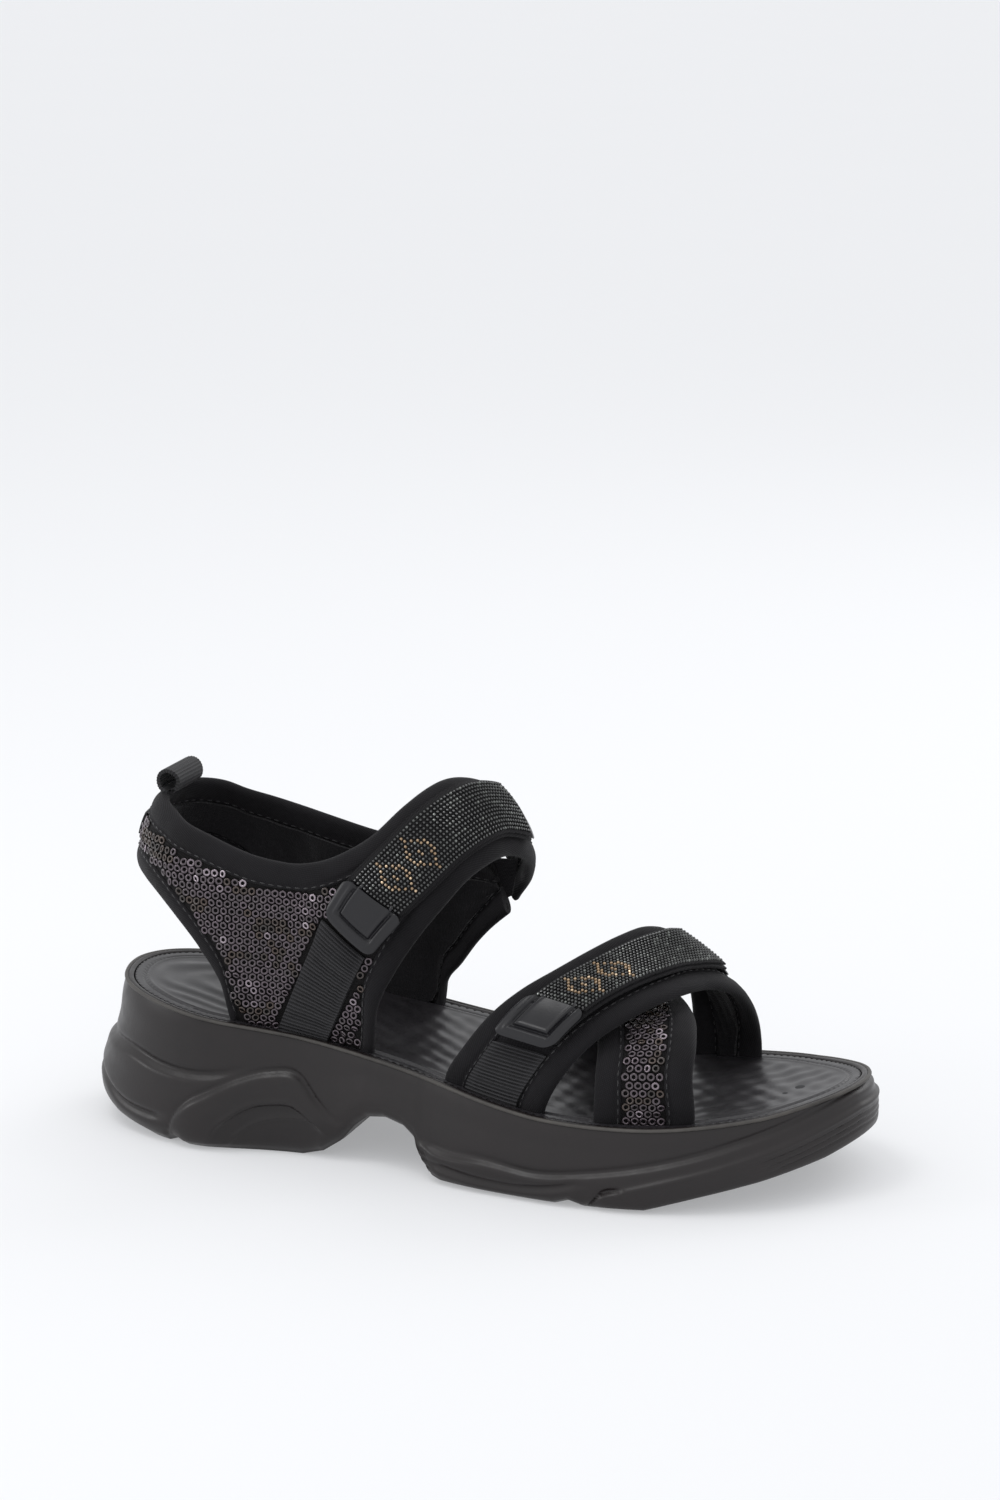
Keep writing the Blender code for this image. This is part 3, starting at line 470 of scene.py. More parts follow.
def gridPiece(name, points, flat, outward=None):
    # a grid primitive laid over rows of points, with its UV map in millimetres of cloth
    deselectAll()
    n, m = points.shape[:2]
    bpy.ops.mesh.primitive_grid_add(x_subdivisions=n - 1, y_subdivisions=m - 1, size=2)
    piece = bpy.context.active_object
    piece.name = piece.data.name = name
    plane = np.empty(len(piece.data.vertices) * 3)
    piece.data.vertices.foreach_get("co", plane)
    i, j = (np.rint((plane[k::3] + 1) / 2 * (size - 1)).astype(int) for k, size in ((0, n), (1, m)))
    piece.data.vertices.foreach_set("co", toFrame(points[i, j]).ravel())
    corner = np.empty(len(piece.data.loops), int)
    piece.data.loops.foreach_get("vertex_index", corner)
    piece.data.uv_layers.active.data.foreach_set("uv", flat[i, j][corner].ravel())
    piece.data.update()
    mesh = bpy.ops.mesh
    if outward is None:
        # a closed tube: its seam and poles are merged, and its ends closed where they are open
        inEditMode((mesh.remove_doubles, {"threshold": 0.000001}), (mesh.fill_holes, {"sides": 0}),
                   (mesh.normals_make_consistent, {"inside": False}))
    elif (np.array([tuple(v.normal) for v in piece.data.vertices]) * outward[i, j]).sum() < 0:
        inEditMode((mesh.flip_normals, {}))
    return piece


def applyModifier(piece, kind, **settings):
    makeActive(piece)
    modifier = piece.modifiers.new(kind.title(), kind)
    for key, value in settings.items():
        setattr(modifier, key, value)
    bpy.ops.object.modifier_apply(modifier=modifier.name)


def smooth(piece, angle=40):
    makeActive(piece)
    bpy.ops.object.shade_smooth_by_angle(angle=math.radians(angle))


def thicken(piece, thickness, edge=0.0, segments=2):
    applyModifier(piece, "SOLIDIFY", thickness=thickness * 0.001, offset=-1.0)
    if edge:
        applyModifier(piece, "BEVEL", width=edge * 0.001, segments=segments, limit_method="ANGLE",
                      angle_limit=math.radians(50))
    smooth(piece)


def dress(piece, finish, slot, *nodes):
    piece.data.materials.clear()
    piece.data.materials.append(finishes[finish])
    if nodes:
        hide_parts(*nodes)


def settle(piece, finish, slot, *nodes, body="shell"):
    dress(piece, finish, slot, *nodes)
    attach(piece, body)
    return piece


def scatter(name, template, places, rights, ups, sizes, tones=None):
    # copies of one small mesh, each turned to its own place, as a single piece
    co = np.array([tuple(v.co) for v in template.data.vertices])
    faces = [tuple(p.vertices) for p in template.data.polygons]
    bpy.data.objects.remove(template, do_unlink=True)
    outs = unit(np.cross(rights, ups))
    axes = (unit(rights), unit(np.cross(outs, rights)), outs)
    sizes = np.broadcast_to(np.asarray(sizes, float), (len(places), 3))
    copies = places[:, None] + sum(axis[:, None] * (co[None, :, k:k + 1] * sizes[:, None, k:k + 1])
                                   for k, axis in enumerate(axes))
    mesh = bpy.data.meshes.new(name)
    count = len(co)
    mesh.from_pydata(toFrame(copies.reshape(-1, 3)).tolist(), [],
                     [tuple(k + c * count for k in face) for c in range(len(places)) for face in faces])
    if tones is not None:
        layer = mesh.attributes.new("tone", "FLOAT", "POINT")
        layer.data.foreach_set("value", np.repeat(np.asarray(tones, np.float32), count))
    mesh.shade_smooth()
    piece = bpy.data.objects.new(name, mesh)
    bpy.context.scene.collection.objects.link(piece)
    return piece


def beadTemplate():
    deselectAll()
    bpy.ops.mesh.primitive_uv_sphere_add(segments=6, ring_count=4, radius=0.5)
    return bpy.context.active_object


sheetShape = {"spacing": 2.4, "rows": 18}


def sheetPiece(name, cloth, first, last, low, high, finish, slot, node, edge=0.0, crease=0.0):
    s, run = cloth.evenly(first, last, 0.5, sheetShape["spacing"])
    inset = edge / cloth.across(s)
    v = np.linspace(0, 1, sheetShape["rows"] + 1)
    t = inset[:, None] + (1 - 2 * inset)[:, None] * v
    across, along = s[:, None] + 0 * t, run[:, None]
    fold = 0.5 + 0.5 * np.sin(along * 0.35 + v * 5) * np.sin(v * 11 + along * 0.11)
    points = cloth.at(across, t, float(high) - crease * fold)
    piece = gridPiece(name, points, spread(along, t * cloth.across(s)[:, None]), cloth.normal(across, t))
    thicken(piece, high - low)
    return settle(piece, finish, slot, node)


# each point: distance in from the edge of the cloth, height above it
bindingShape = {"points": [(7.5, 1.32), (7.2, 1.75), (6.5, 1.95), (5.9, 1.78), (5.2, 2.18), (3.6, 2.55),
                           (1.6, 2.62), (0.0, 2.3), (-1.0, 1.55), (-1.42, 0.6), (-1.05, -0.45), (0.0, -1.2),
                           (1.8, -1.45), (4.0, -1.38), (5.9, -0.95), (7.2, -0.9), (7.5, -0.35), (7.5, 0.5)],
                "spacing": 1.5, "rows": 40, "pucker": 0.16, "stitchIn": 6.6, "stitchLifts": (2.0, -0.98)}


def bindingPiece(name, runs, node):
    # a folded edge binding; runs are (cloth, first s, last s, edge) joined end to end
    loop = bindingShape["points"] + bindingShape["points"][:1]
    knots = np.concatenate([[0], np.cumsum([math.dist(p, q) for p, q in zip(loop, loop[1:])])])
    wrapped = np.array([(k, *p) for k, p in zip(knots, loop)])
    around = np.linspace(0, knots[-1], bindingShape["rows"] + 1)
    ring = curveAt(wrapped, around)
    ring[-1] = ring[0]
    a, high = ring[None, :, 0], ring[None, :, 1]
    parts, flats, length = [], [], 0.0
    for cloth, first, last, edge in runs:
        s, run = cloth.evenly(first, last, float(edge), bindingShape["spacing"], 1.0)
        run = run + length
        pucker = bindingShape["pucker"] * (np.sin(run * 2.1) * 0.6 + np.sin(run * 0.83 + 1) * 0.4)
        b = high + pucker[:, None] * (np.abs(a - 4.5) < 3.2) * np.sign(high - 0.6) * 0.6
        t = edge + (1 - 2 * edge) * a / cloth.across(s)[:, None]
        parts.append(cloth.at(s[:, None] + 0 * t, t, b))
        flats.append(spread(run[:, None], around[None, :]))
        length = run[-1]
    points, flat = parts[0], flats[0]
    for more, moreFlat in zip(parts[1:], flats[1:]):
        points = np.concatenate([points[:-1], [(points[-1] + more[0]) / 2], more[1:]])
        flat = np.concatenate([flat, moreFlat[1:]])
    piece = gridPiece(name, points, flat)
    smooth(piece, 60)
    settle(piece, "binding", "binding", node)


stitching = {"length": 2.0, "pitch": 3.1, "thick": 0.46, "flat": 0.8, "lengthPitch": 2.9}


def alongEdge(cloth, first, last, edge, inward, lift):
    s, _ = cloth.evenly(first, last, float(edge), 0.7)
    t = edge + (1 - 2 * edge) * inward / cloth.across(s)
    return cloth.at(s, t, lift), cloth.normal(s, t)


def stitchPiece(name, lines):
    pitch, thick = stitching["pitch"], stitching["thick"]
    places, ways, ups = [], [], []
    for line, normals in lines:
        run = runAlong(line)
        at = np.arange(pitch / 2, run[-1], pitch)

        def pick(rows, moved=0.0):
            return np.stack([np.interp(at + moved, run, rows[:, k]) for k in range(3)], axis=1)

        places.append(pick(line))
        ways.append(pick(line, 0.5) - pick(line, -0.5))
        ups.append(pick(normals))
    places, ways, ups = (np.concatenate(x) for x in (places, ways, ups))
    sizes = (stitching["length"] * pitch / stitching["lengthPitch"], thick, thick * stitching["flat"])
    piece = scatter(name, beadTemplate(), places, ways, np.cross(ups, ways), sizes)
    settle(piece, "thread", "binding")


sequins = {"pitch": 2.75, "rowPitch": 0.87, "outer": 1.0, "tube": 0.43, "flat": 0.34, "tilt": 0.17,
           "lift": 0.42, "tone": 0.50, "toneSpread": 0.12, "patchTone": 0.16, "glintShare": 0.03,
           "glintNearTop": 0.5, "margin": 8.2, "anchorX": 55, "bandMargin": 8.0}


def sequinRows(cloth, zLow, zHigh, first, last):
    # rows at even heights, points at even distances, alternate rows moved by half
    s, t = np.linspace(first, last, 700), np.linspace(0, 1, 120)
    grid = cloth.plain(s[:, None] + 0 * t, t + 0 * s[:, None])
    room = sequins["margin"] / cloth.across(s)
    heights, pitch = grid[..., 2], sequins["pitch"]
    step = pitch * sequins["rowPitch"]
    i = np.arange(len(s))
    found = []
    for row in range(int((zHigh - zLow) / step)):
        z = zLow + row * step
        crosses = (heights[:, :-1] <= z) & (heights[:, 1:] > z)
        ok, k = crosses.any(axis=1), crosses.argmax(axis=1)
        part = (z - heights[i, k]) / np.maximum(heights[i, k + 1] - heights[i, k], 1e-6)
        tAt = t[k] + part * (t[1] - t[0])
        line = grid[i, k] + (grid[i, k + 1] - grid[i, k]) * part[:, None]
        ok &= (tAt > room) & (tAt < 1 - room)
        if ok.sum() < 3:
            continue
        steps = np.linalg.norm(np.diff(line, axis=0), axis=1)
        run = np.concatenate([[0], np.cumsum(np.where(ok[1:] & ok[:-1], steps, 1e-6))])
        zero = run[np.argmin(np.abs(line[:, 0] - sequins["anchorX"]) + 1000 * ~ok)]
        wanted = np.arange(-80, 90) * pitch + zero + pitch * (0.5 * (row % 2))
        wanted = wanted[(wanted > run[ok].min()) & (wanted < run[ok].max())]
        sAt = np.interp(wanted, run, s)
        sAt = sAt[ok[np.clip(np.searchsorted(s, sAt), 0, len(s) - 1)]]
        found.append(np.stack([sAt, np.interp(sAt, s, tAt)], axis=1))
    return np.concatenate(found)


def sequinStrip(cloth, first, last):
    # rows across a band, at even distances along its middle
    pitch = sequins["pitch"]
    s, _ = cloth.evenly(first, last, 0.5, pitch * sequins["rowPitch"])
    found = []
    for k, here in enumerate(s):
        wide = float(cloth.across(np.array([here]))[0])
        spots = np.arange(-30, 31) * pitch + pitch * 0.5 * (k % 2)
        spots = spots[np.abs(spots) < wide / 2 - sequins["bandMargin"]]
        found.append(np.column_stack([np.full(len(spots), here), 0.5 + spots / wide]))
    return np.concatenate(found)


def sequinPiece(name, cloth, spots, patchiness=0.36):
    deselectAll()
    bpy.ops.mesh.primitive_torus_add(major_segments=12, minor_segments=5, major_radius=sequins["outer"],
                                     minor_radius=sequins["tube"])
    ring = bpy.context.active_object
    s, t = spots[:, 0], spots[:, 1]
    places = cloth.at(s, t, layers["cloth"] + sequins["lift"])
    out = unit(cloth.normal(s, t) + dice.normal(0, sequins["tilt"], (len(s), 3)))
    side = np.cross(out, np.broadcast_to([0.3, 0.2, 1.0], out.shape))
    x, z = places[:, 0], places[:, 2]
    # slow waves over the cloth make darker and lighter patches; bright glints near the collar, and a few
    # elsewhere, are painted highlights
    patch = (np.sin(x * 0.21 + z * 0.13 + 1.0) + np.sin(x * 0.12 - z * 0.27 + 4.0)
             + np.sin(z * 0.42 + x * 0.05)) / 3
    tone = sequins["tone"] + sequins["toneSpread"] * dice.standard_normal(len(s)) + sequins["patchTone"] * patch
    brown = patch + 0.16 * dice.standard_normal(len(s)) < -patchiness
    tone[brown] = 0.02 + 0.14 * dice.random(brown.sum())
    # painted highlights: glinting sequins get a bright silver tone, crowding along the upper edge by the collar
    top = np.maximum((1 - t) * cloth.across(s) - 8.0, 0)
    chance = sequins["glintNearTop"] * np.exp(-top / 3.2) * (np.sin(x * 0.16 + 1.2) > -0.1)
    glint = dice.random(len(s)) < sequins["glintShare"] + chance
    tone[glint] = 0.82 + 0.18 * dice.random(glint.sum())
    sizes = (1, 1, sequins["flat"] / sequins["tube"])
    piece = scatter(name, ring, places, side, np.cross(out, side), sizes, np.clip(tone, 0, 1))
    settle(piece, "sequin", "sequin_cloth")


def steady(value):
    return lambda s: np.full_like(np.asarray(s, float), value)


class Track:
    # the line that a tape follows on a cloth; lean slants its cut ends
    def __init__(self, cloth, centre=steady(0.5), lean=steady(0.0)):
        self.cloth, self.centre, self.lean = cloth, centre, lean

    def after(self, start, length, way=1):
        s = start + way * np.linspace(0, 6, 400)
        s = s[(s >= 0) & (s <= self.cloth.last)]
        return float(np.interp(length, runAlong(self.cloth.plain(s, self.centre(s))), s))

    def aside(self, s, place):
        t = self.centre(s)[:, None] + place / self.cloth.across(s)[:, None]
        return s[:, None] + self.lean(s)[:, None] * place / 10.0, t


def stripPiece(name, track, first, last, width, low, thick, finish, slot, node, body="shell", corner=0.0,
               spacing=1.0, rows=12, relief=None, edge=0.25, segments=2):
    # a strip of tape, which may have round corners
    cloth = track.cloth
    s, run = cloth.evenly(first, last, track.centre, 0.25)
    total = run[-1]
    count = max(int(total / spacing), 6)
    want = np.linspace(0, total, count + 1)
    half = np.full_like(want, width / 2)
    if corner:
        bend = corner * (1 - np.cos(np.linspace(0, math.pi / 2, 8)))
        middle = np.linspace(corner, total - corner, max(count - 8, 4))[1:-1]
        want = np.concatenate([bend, middle, total - bend[::-1]])
        near = np.minimum(np.minimum(want, total - want), corner)
        half = width / 2 - corner + np.sqrt(np.maximum(corner ** 2 - (corner - near) ** 2, 0))
    across = half[:, None] * np.linspace(-1, 1, rows + 1)
    along = want[:, None] + 0 * across
    s, t = track.aside(np.interp(want, run, s), across)
    lift = low + thick + (relief(along, across, total, width) if relief else 0 * s)
    piece = gridPiece(name, cloth.at(s, t, lift), spread(along, across), cloth.normal(s, t))
    thicken(piece, thick, edge, segments)
    settle(piece, finish, slot, node, body=body)


print("finishes and patterns ready")

# heights on the side wall are given along the last: (x, height)
sole = {
    "around": 430, "sideRows": 82, "underRows": 14, "underInset": 2.2, "treadPitch": 6.5, "treadDepth": 0.9,
    "tread": [(-3, 6), (8, 2), (22, 0.2), (27, 0), (31, 1.6), (35, 0), (60, 0), (76, 0), (84, 2.2), (91, 7),
              (96, 13), (101, 17), (108, 18), (116, 16), (121, 12), (124.5, 5), (128.5, 1), (133, 0), (150, 0),
              (174, 0), (179, 1.6), (184, 0), (204, 0), (220, 4.5), (238, 9), (255, 14), (266, 19)],
    "lipRings": [(2.2, 5.0), (2.2, 1.2), (2.1, 0.45), (1.7, 0.05), (1.1, -0.08), (0.55, -0.02), (0.1, 0.25),
                 (-0.12, 0.7)],
    "profile": [(0.0, 0.0), (0.06, 0.9), (0.3, 2.3), (0.55, 3.5), (0.78, 3.7), (0.93, 2.6), (1.0, 0.6)],
    "heelProfile": [(0.0, 0.0), (0.06, 0.2), (0.3, 0.9), (0.55, 3.4), (0.78, 6.0), (0.93, 4.2), (1.0, 0.6)],
    "crease": [(-2.4, 30), (14.5, 29.3), (24, 27.1), (36.4, 25.8), (47.9, 26.7), (60, 30)],
    "heelRidge": [(-2.4, 20), (1.5, 17.5), (11, 11.2), (20.7, 9.5), (28, 9.5)],
    "lobeOuter": [(29, 3), (30.6, 7.8), (35.5, 14.9), (43.3, 20.4), (54.8, 25.9), (64.3, 28.4), (76.4, 27),
                  (82.8, 19.6), (88.3, 14.8), (95.7, 13), (104, 13)],
    "lobeInner": [(43, 2), (44.8, 5.9), (50.7, 12.1), (58.4, 16.7), (65.9, 18.1), (73.4, 18.1), (82, 13),
                  (90, 6)],
    "lobeGroove": [(48, 1), (50.5, 3.8), (58.2, 10.3), (65.8, 13), (79, 14.2)],
    "foreCrease": [(124, 12.6), (132.8, 11.1), (149.4, 11.1), (169, 9.5), (184.3, 11.4), (204.4, 15),
                   (224.3, 20), (243.9, 26.5), (263, 34)],
    "foreGroove": [(130, 7), (148.4, 4.8), (163.9, 4.7), (176.2, 6.8), (182, 8.4)],
    "foreRidge": [(188.4, 4.8), (198.5, 8.1), (210.5, 11.7), (224.4, 15.5), (244, 22), (263, 29.5)],
    "notch": [(184.4, -0.9), (187.5, 3), (190.4, 6), (196.5, 7.8)],
    "archWall": [(-0.2, 129.5), (2.7, 124.5), (7.8, 121.5), (13, 120.0)],  # height, x
}


def ramp(value, width):
    return 0.5 + 0.5 * np.tanh(value / width)


def hump(value, width):
    return np.exp(-(value / width) ** 2)


def span(x, first, last, soft=4.0):
    return ramp(x - first, soft) * ramp(last - x, soft)


def soleRelief(x, z):
    crease, arc, inner, fore, ridge = (softHeight(sole[key], x) for key in (
        "crease", "lobeOuter", "lobeInner", "foreCrease", "foreRidge"))
    # heel
    out = (1.6 * ramp(crease - z, 1.0) - 1.1 * hump(z - crease - 0.8, 1.5)) * ramp(52 - x, 6)
    out += -1.4 * hump(z - softHeight(sole["heelRidge"], x), 1.6) * ramp(26 - x, 3)
    out += (2.1 * ramp(arc - z, 1.1) - 0.7 * hump(z - arc - 1.2, 1.0)) * span(x, 32, 88, 5)
    out += (-1.6 * ramp(inner - z, 0.9) + 0.6 * hump(z - inner - 0.9, 0.9)) * span(x, 45, 84, 3)
    out += 0.55 * hump(z - softHeight(sole["lobeGroove"], x), 0.8) * span(x, 49, 80, 2)
    # wall at the front of the arch
    wallX = lineHeight(sole["archWall"], z)
    out += 1.2 * (ramp(x - wallX, 0.8) * ramp(12.5 - z, 1.0) - ramp(x - 150, 12) * ramp(12.5 - z, 1.0))
    out += -0.4 * (np.sin(z * 2.6) > 0.3) * hump(x - wallX - 4, 3.2) * ramp(11 - z, 1)
    # forefoot
    out += (1.5 * ramp(fore - z, 0.8) - 0.8 * hump(z - fore - 0.8, 1.4)) * ramp(x - 128, 3)
    groove = softHeight(sole["foreGroove"], x)
    out += (-1.1 * hump(z - groove, 1.3) + 0.6 * ramp(groove - z, 0.8)) * span(x, 131, 183, 3)
    out += (1.2 * ramp(ridge - z, 0.8) + 0.8 * hump(z - ridge, 1.1)) * ramp(x - 189, 2.5)
    out += -1.3 * hump(z - softHeight(sole["notch"], x), 0.9) * span(x, 184.5, 197, 0.8)
    for k in range(3):
        out += -0.45 * hump(z - (ridge - 3.0 - 2.1 * k), 0.45) * ramp(x - 236 - 3 * k, 2)
    return out


def soleX():
    # stations of one half, at even distances round the rim
    low, high = rim["tips"]
    x = low + (high - low) * (1 - np.cos(np.linspace(0, math.pi, 4000))) / 2
    run = runAlong(np.stack([x, rimY(x, -1)], axis=1))
    return np.interp(np.linspace(0, run[-1], sole["around"] + 1), run, x)


def rimRing(x):
    # closed plan of the rim, graded, with outward directions; the lateral half first
    plan = np.concatenate([np.stack([x, rimY(x, -1)], 1), np.stack([x, rimY(x, 1)], 1)[::-1]]) * grade
    loop = np.delete(plan, len(x), axis=0)[:-1]
    way = np.roll(loop, -2, axis=0) - np.roll(loop, 2, axis=0)
    out = unit(np.stack([way[:, 1], -way[:, 0]], axis=1))
    if (out * (loop - loop.mean(0))).sum() < 0:
        out = -out
    out = unit(sum(np.roll(out, k, axis=0) for k in range(-3, 4)))
    return np.vstack([loop, loop[:1]]), np.vstack([out, out[:1]]), np.concatenate([x, x[::-1][1:]])


def soleUnit():
    loop, out, ringX = rimRing(soleX())
    top, bottom = rimZ(ringX) * grade, lineHeight(sole["tread"], ringX) * grade
    heel = np.exp(-np.maximum(ringX + 2.4, 0) / 16.0)
    slim = 1 - 0.75 * np.exp(-np.maximum(rim["tips"][1] - ringX, 0) / 14.0)
    middle = np.stack([ringX * grade, (rimY(ringX, -1) + rimY(ringX, 1)) / 2 * grade], axis=1)
    rows = []

    def ring(plan, height):
        rows.append(np.column_stack([plan, height]))

    for keep in (0.0, 0.5, 1.0):
        ring(middle + (loop - out * rim["lip"] - middle) * keep, top - rim["recess"])
    for inset, drop in sole["lipRings"]:
        ring(loop - out * inset, top - drop)
    for p in np.linspace(0.03, 1.0, sole["sideRows"]):
        place = (1 - math.cos(p * math.pi)) / 2 * 0.25 + p * 0.75
        z = top + (bottom - top) * place
        reach = softHeight(sole["profile"], place) * slim + softHeight(sole["heelProfile"], place) * heel
        relief = soleRelief(ringX, z / grade) * min(place * 12, 1.0) * min((1.02 - place) * 14, 1.0)
        ring(loop + out * ((reach + relief) * grade)[:, None], z)
    for inset, rise in ((0.25, 0.1), (1.0, 0.0)):
        ring(loop - out * inset, bottom + rise)
    for keep in np.linspace(1, 0, sole["underRows"]):
        groove = (np.sin(ringX * 2 * math.pi / sole["treadPitch"]) > 0.35) * (0.05 < keep < 0.93)
        inside = loop - out * sole["underInset"]
        ring(middle + (inside - middle) * keep, bottom + sole["treadDepth"] * groove)
    points = np.stack(rows, axis=1)
    run = runAlong(points[:, 12])[:, None]
    piece = gridPiece("soleUnit", points, spread(run, 0.6 * np.arange(1, len(rows) + 1)))
    smooth(piece, 50)
    settle(piece, "sole", "sole_rubber", "sole_unit")

    # thin speckled bead round the rim
    turns = [(math.cos(a), math.sin(a)) for a in np.linspace(0, 2 * math.pi, 9)]
    bead = np.stack([np.column_stack([loop + out * (0.35 + 0.7 * c), top - 0.35 + 0.62 * s])
                     for c, s in turns], axis=1)
    piece = gridPiece("rimBead", bead, spread(run, np.zeros((1, len(turns)))))
    smooth(piece, 60)
    settle(piece, "welt", "sole_rubber")


soleUnit()
print("sole ready")


footbed = {"rows": 110, "thick": 1.1, "dish": 0.75, "heelCentre": (40, -1), "ripple": 7.4, "bump": 0.27,
           "heelTo": 72, "middleFrom": 84, "middleTo": 172, "toeFrom": 176, "toePitch": (11.5, 12.5),
           "middlePitch": (10.5, 14.0), "edgeGap": 0.35}


def footbedCover():
    x = soleX()
    halves = []
    for side in (-1, 1):
        plan = np.stack([x, rimY(x, side)], axis=1) * grade
        run = np.gradient(plan, axis=0)
        run[0], run[-1] = (0, side), (0, -side)
        out = unit(np.stack([-run[:, 1], run[:, 0]], axis=1) * side)
        halves.append(plan - out * (rim["lip"] + footbed["edgeGap"]))
    rough, firm = halves
    v = np.linspace(0, 1, footbed["rows"] + 1)
    v = 0.5 - 0.5 * np.cos(v * math.pi) * 0.25 - (0.5 - v) * 0.75
    v = (v - v[0]) / (v[-1] - v[0])
    plan = rough[:, None] + (firm - rough)[:, None] * v[None, :, None]
    edge = np.concatenate([rough, firm[::-1]])
    away = np.min(np.linalg.norm(plan[:, :, None, :] - edge[None, None, ::4], axis=-1), axis=-1)
    px, py = plan[..., 0] / grade, plan[..., 1] / grade
    height = rimZ(px) * grade - 0.15
    height -= footbed["dish"] * ramp(away - 12, 5)
    height -= 0.55 * np.clip(1 - away / 0.9, 0, 1) ** 2
    height -= 0.5 * hump(away - 3.4, 0.55) - 0.25 * hump(away - 4.6, 0.7)
    # ripples round the heel, shallow oval hollows under the toes and slanting waves between them
    turn = 2 * math.pi
    cx, cy = footbed["heelCentre"]
    heelR = np.hypot((px - cx) / 1.9, (py - cy) + 1.6 * np.sin((px - cx) * 0.16))
    ripples = np.sin(heelR * turn / footbed["ripple"]) * ramp(footbed["heelTo"] - px, 5)
    long, wide = footbed["toePitch"]
    hollows = (np.sin((px + 2.2 * np.sin(py * 0.16)) * turn / long)
               * np.cos((py + 1.5 * np.sin(px * 0.1)) * turn / wide)
               * 1.15 * ramp(px - footbed["toeFrom"], 5))
    long, wide = footbed["middlePitch"]
    waves = (np.sin((px + 0.55 * py) * turn / long) * np.cos((py - 0.35 * px) * turn / wide)
             * 0.9 * span(px, footbed["middleFrom"], footbed["middleTo"], 5))
    height += footbed["bump"] * (ripples + hollows + waves) * ramp(away - 7.5, 1.6)
    points = np.concatenate([plan, height[..., None]], axis=-1)
    piece = gridPiece("footbedCover", points, plan, np.broadcast_to([0.0, 0.0, 1.0], points.shape))
    thicken(piece, footbed["thick"])
    settle(piece, "footbed", "footbed_skin", "footbed_cover")


footbedCover()
for node, finish in (("insole_board", "board"), ("footbed_foam", "foam")):
    frame["nodes"][node].data.materials[0] = finishes[finish]
print("footbed ready")

# first s, finish and slot of each cloth; the quarters start beside the heel seam
cloths = {
    "lateralQuarter": (lateral, 0.03, "net", "sequin_cloth", "lateral_quarter", "lateral_lining"),
    "medialQuarter": (medial, 0.03, "net", "sequin_cloth", "medial_quarter", "medial_lining"),
    "forefootBand": (forefoot, 0.0, "band", "binding", "forefoot_band", "forefoot_lining"),
    "crossBand": (crossing, 0.0, "net", "sequin_cloth", "cross_band", "cross_lining"),
}
linings = {"inset": 0.02, "edge": 7.4, "crease": 0.5}
sheets = []  # piece, cloth, first s, edge that is left free
for label, (cloth, first, finish, slot, node, liningNode) in cloths.items():
    piece = sheetPiece(label, cloth, first, cloth.last, 0.0, layers["cloth"], finish, slot, node)
    sheets.append((piece, cloth, first, 0.0))
    first, edge = first + linings["inset"], linings["edge"]
    piece = sheetPiece(label + "Lining", cloth, first, cloth.last - linings["inset"],
                       -layers["foldGap"] - layers["lining"], -layers["foldGap"], "lining", "lining",
                       liningNode, edge, linings["crease"])
    sheets.append((piece, cloth, first, edge))

gore = {"corners": [(113, 33.6, 72), (128.5, 34.0, 80), (130.5, 34.6, 93), (114, 33.6, 93)], "pitch": 1.6,
        "thick": 0.8, "rib": 0.1, "size": (16, 20), "steps": (40, 30)}


def elasticGore():
    # short elastic that joins the end of the instep tongue to the medial quarter, sewn under both
    a, b, c, d = (np.array(p) * grade for p in gore["corners"])
    n, m = gore["steps"]
    u, v = np.linspace(0, 1, n)[:, None, None], np.linspace(0, 1, m)[None, :, None]
    points = (a * (1 - u) + b * u) * (1 - v) + (d * (1 - u) + c * u) * v
    points[..., 1] += gore["rib"] * np.sin(v[..., 0] * m / gore["pitch"] * 2 * math.pi)
    flat = spread(u[..., 0] * gore["size"][0], v[..., 0] * gore["size"][1])
    piece = gridPiece("elasticGore", points, flat, np.broadcast_to([0.0, 1.0, 0.0], points.shape))
    thicken(piece, gore["thick"])
    settle(piece, "band", "binding")


elasticGore()
print("cloth ready")

# each run: cloth, first s, last s, lower edge (0) or upper edge (1)
bindings = {
    "collarBinding": ("collar_binding", [(lateral, lateral.last, 0.0, 1), (medial, 0.0, medial.last, 1)]),
    "heelBinding": ("heel_binding", [(lateral, 6.75, 0.0, 0), (medial, 0.0, 6.75, 0)]),
    "lateralFrontBinding": ("lateral_front_binding", [(lateral, 10.1, lateral.last, 0)]),
    "medialFrontBinding": ("medial_front_binding", [(medial, 9.1, medial.last, 0)]),
}
for band, cloth in (("forefoot", forefoot), ("cross", crossing)):
    for edge, side in enumerate(("Front", "Rear")):
        bindings[band + side + "Binding"] = (f"{band}_{side.lower()}_binding", [(cloth, 0.0, cloth.last, edge)])
for label, (node, runs) in bindings.items():
    bindingPiece(label, runs, node)
    stitchPiece(label + "Stitches", [alongEdge(*run, bindingShape["stitchIn"], lift)
                                     for lift in bindingShape["stitchLifts"] for run in runs])
print("bindings ready")


def ribRelief(along, across, total, width):
    rib = np.sin(along * 2 * math.pi / webbingShape["pitch"]) * webbingShape["depth"]
    selvedge = 0.1 * hump(np.abs(across) - width / 2 + 1.3, 0.3)
    return rib * np.clip((width / 2 - np.abs(across)) / 0.8, 0, 1) - selvedge


def refine(grid, rows, columns):
    n, m = grid.shape
    tall = np.stack([np.interp(np.linspace(0, n - 1, rows), np.arange(n), column) for column in grid.T], axis=1)
    return np.stack([np.interp(np.linspace(0, m - 1, columns), np.arange(m), row) for row in tall])


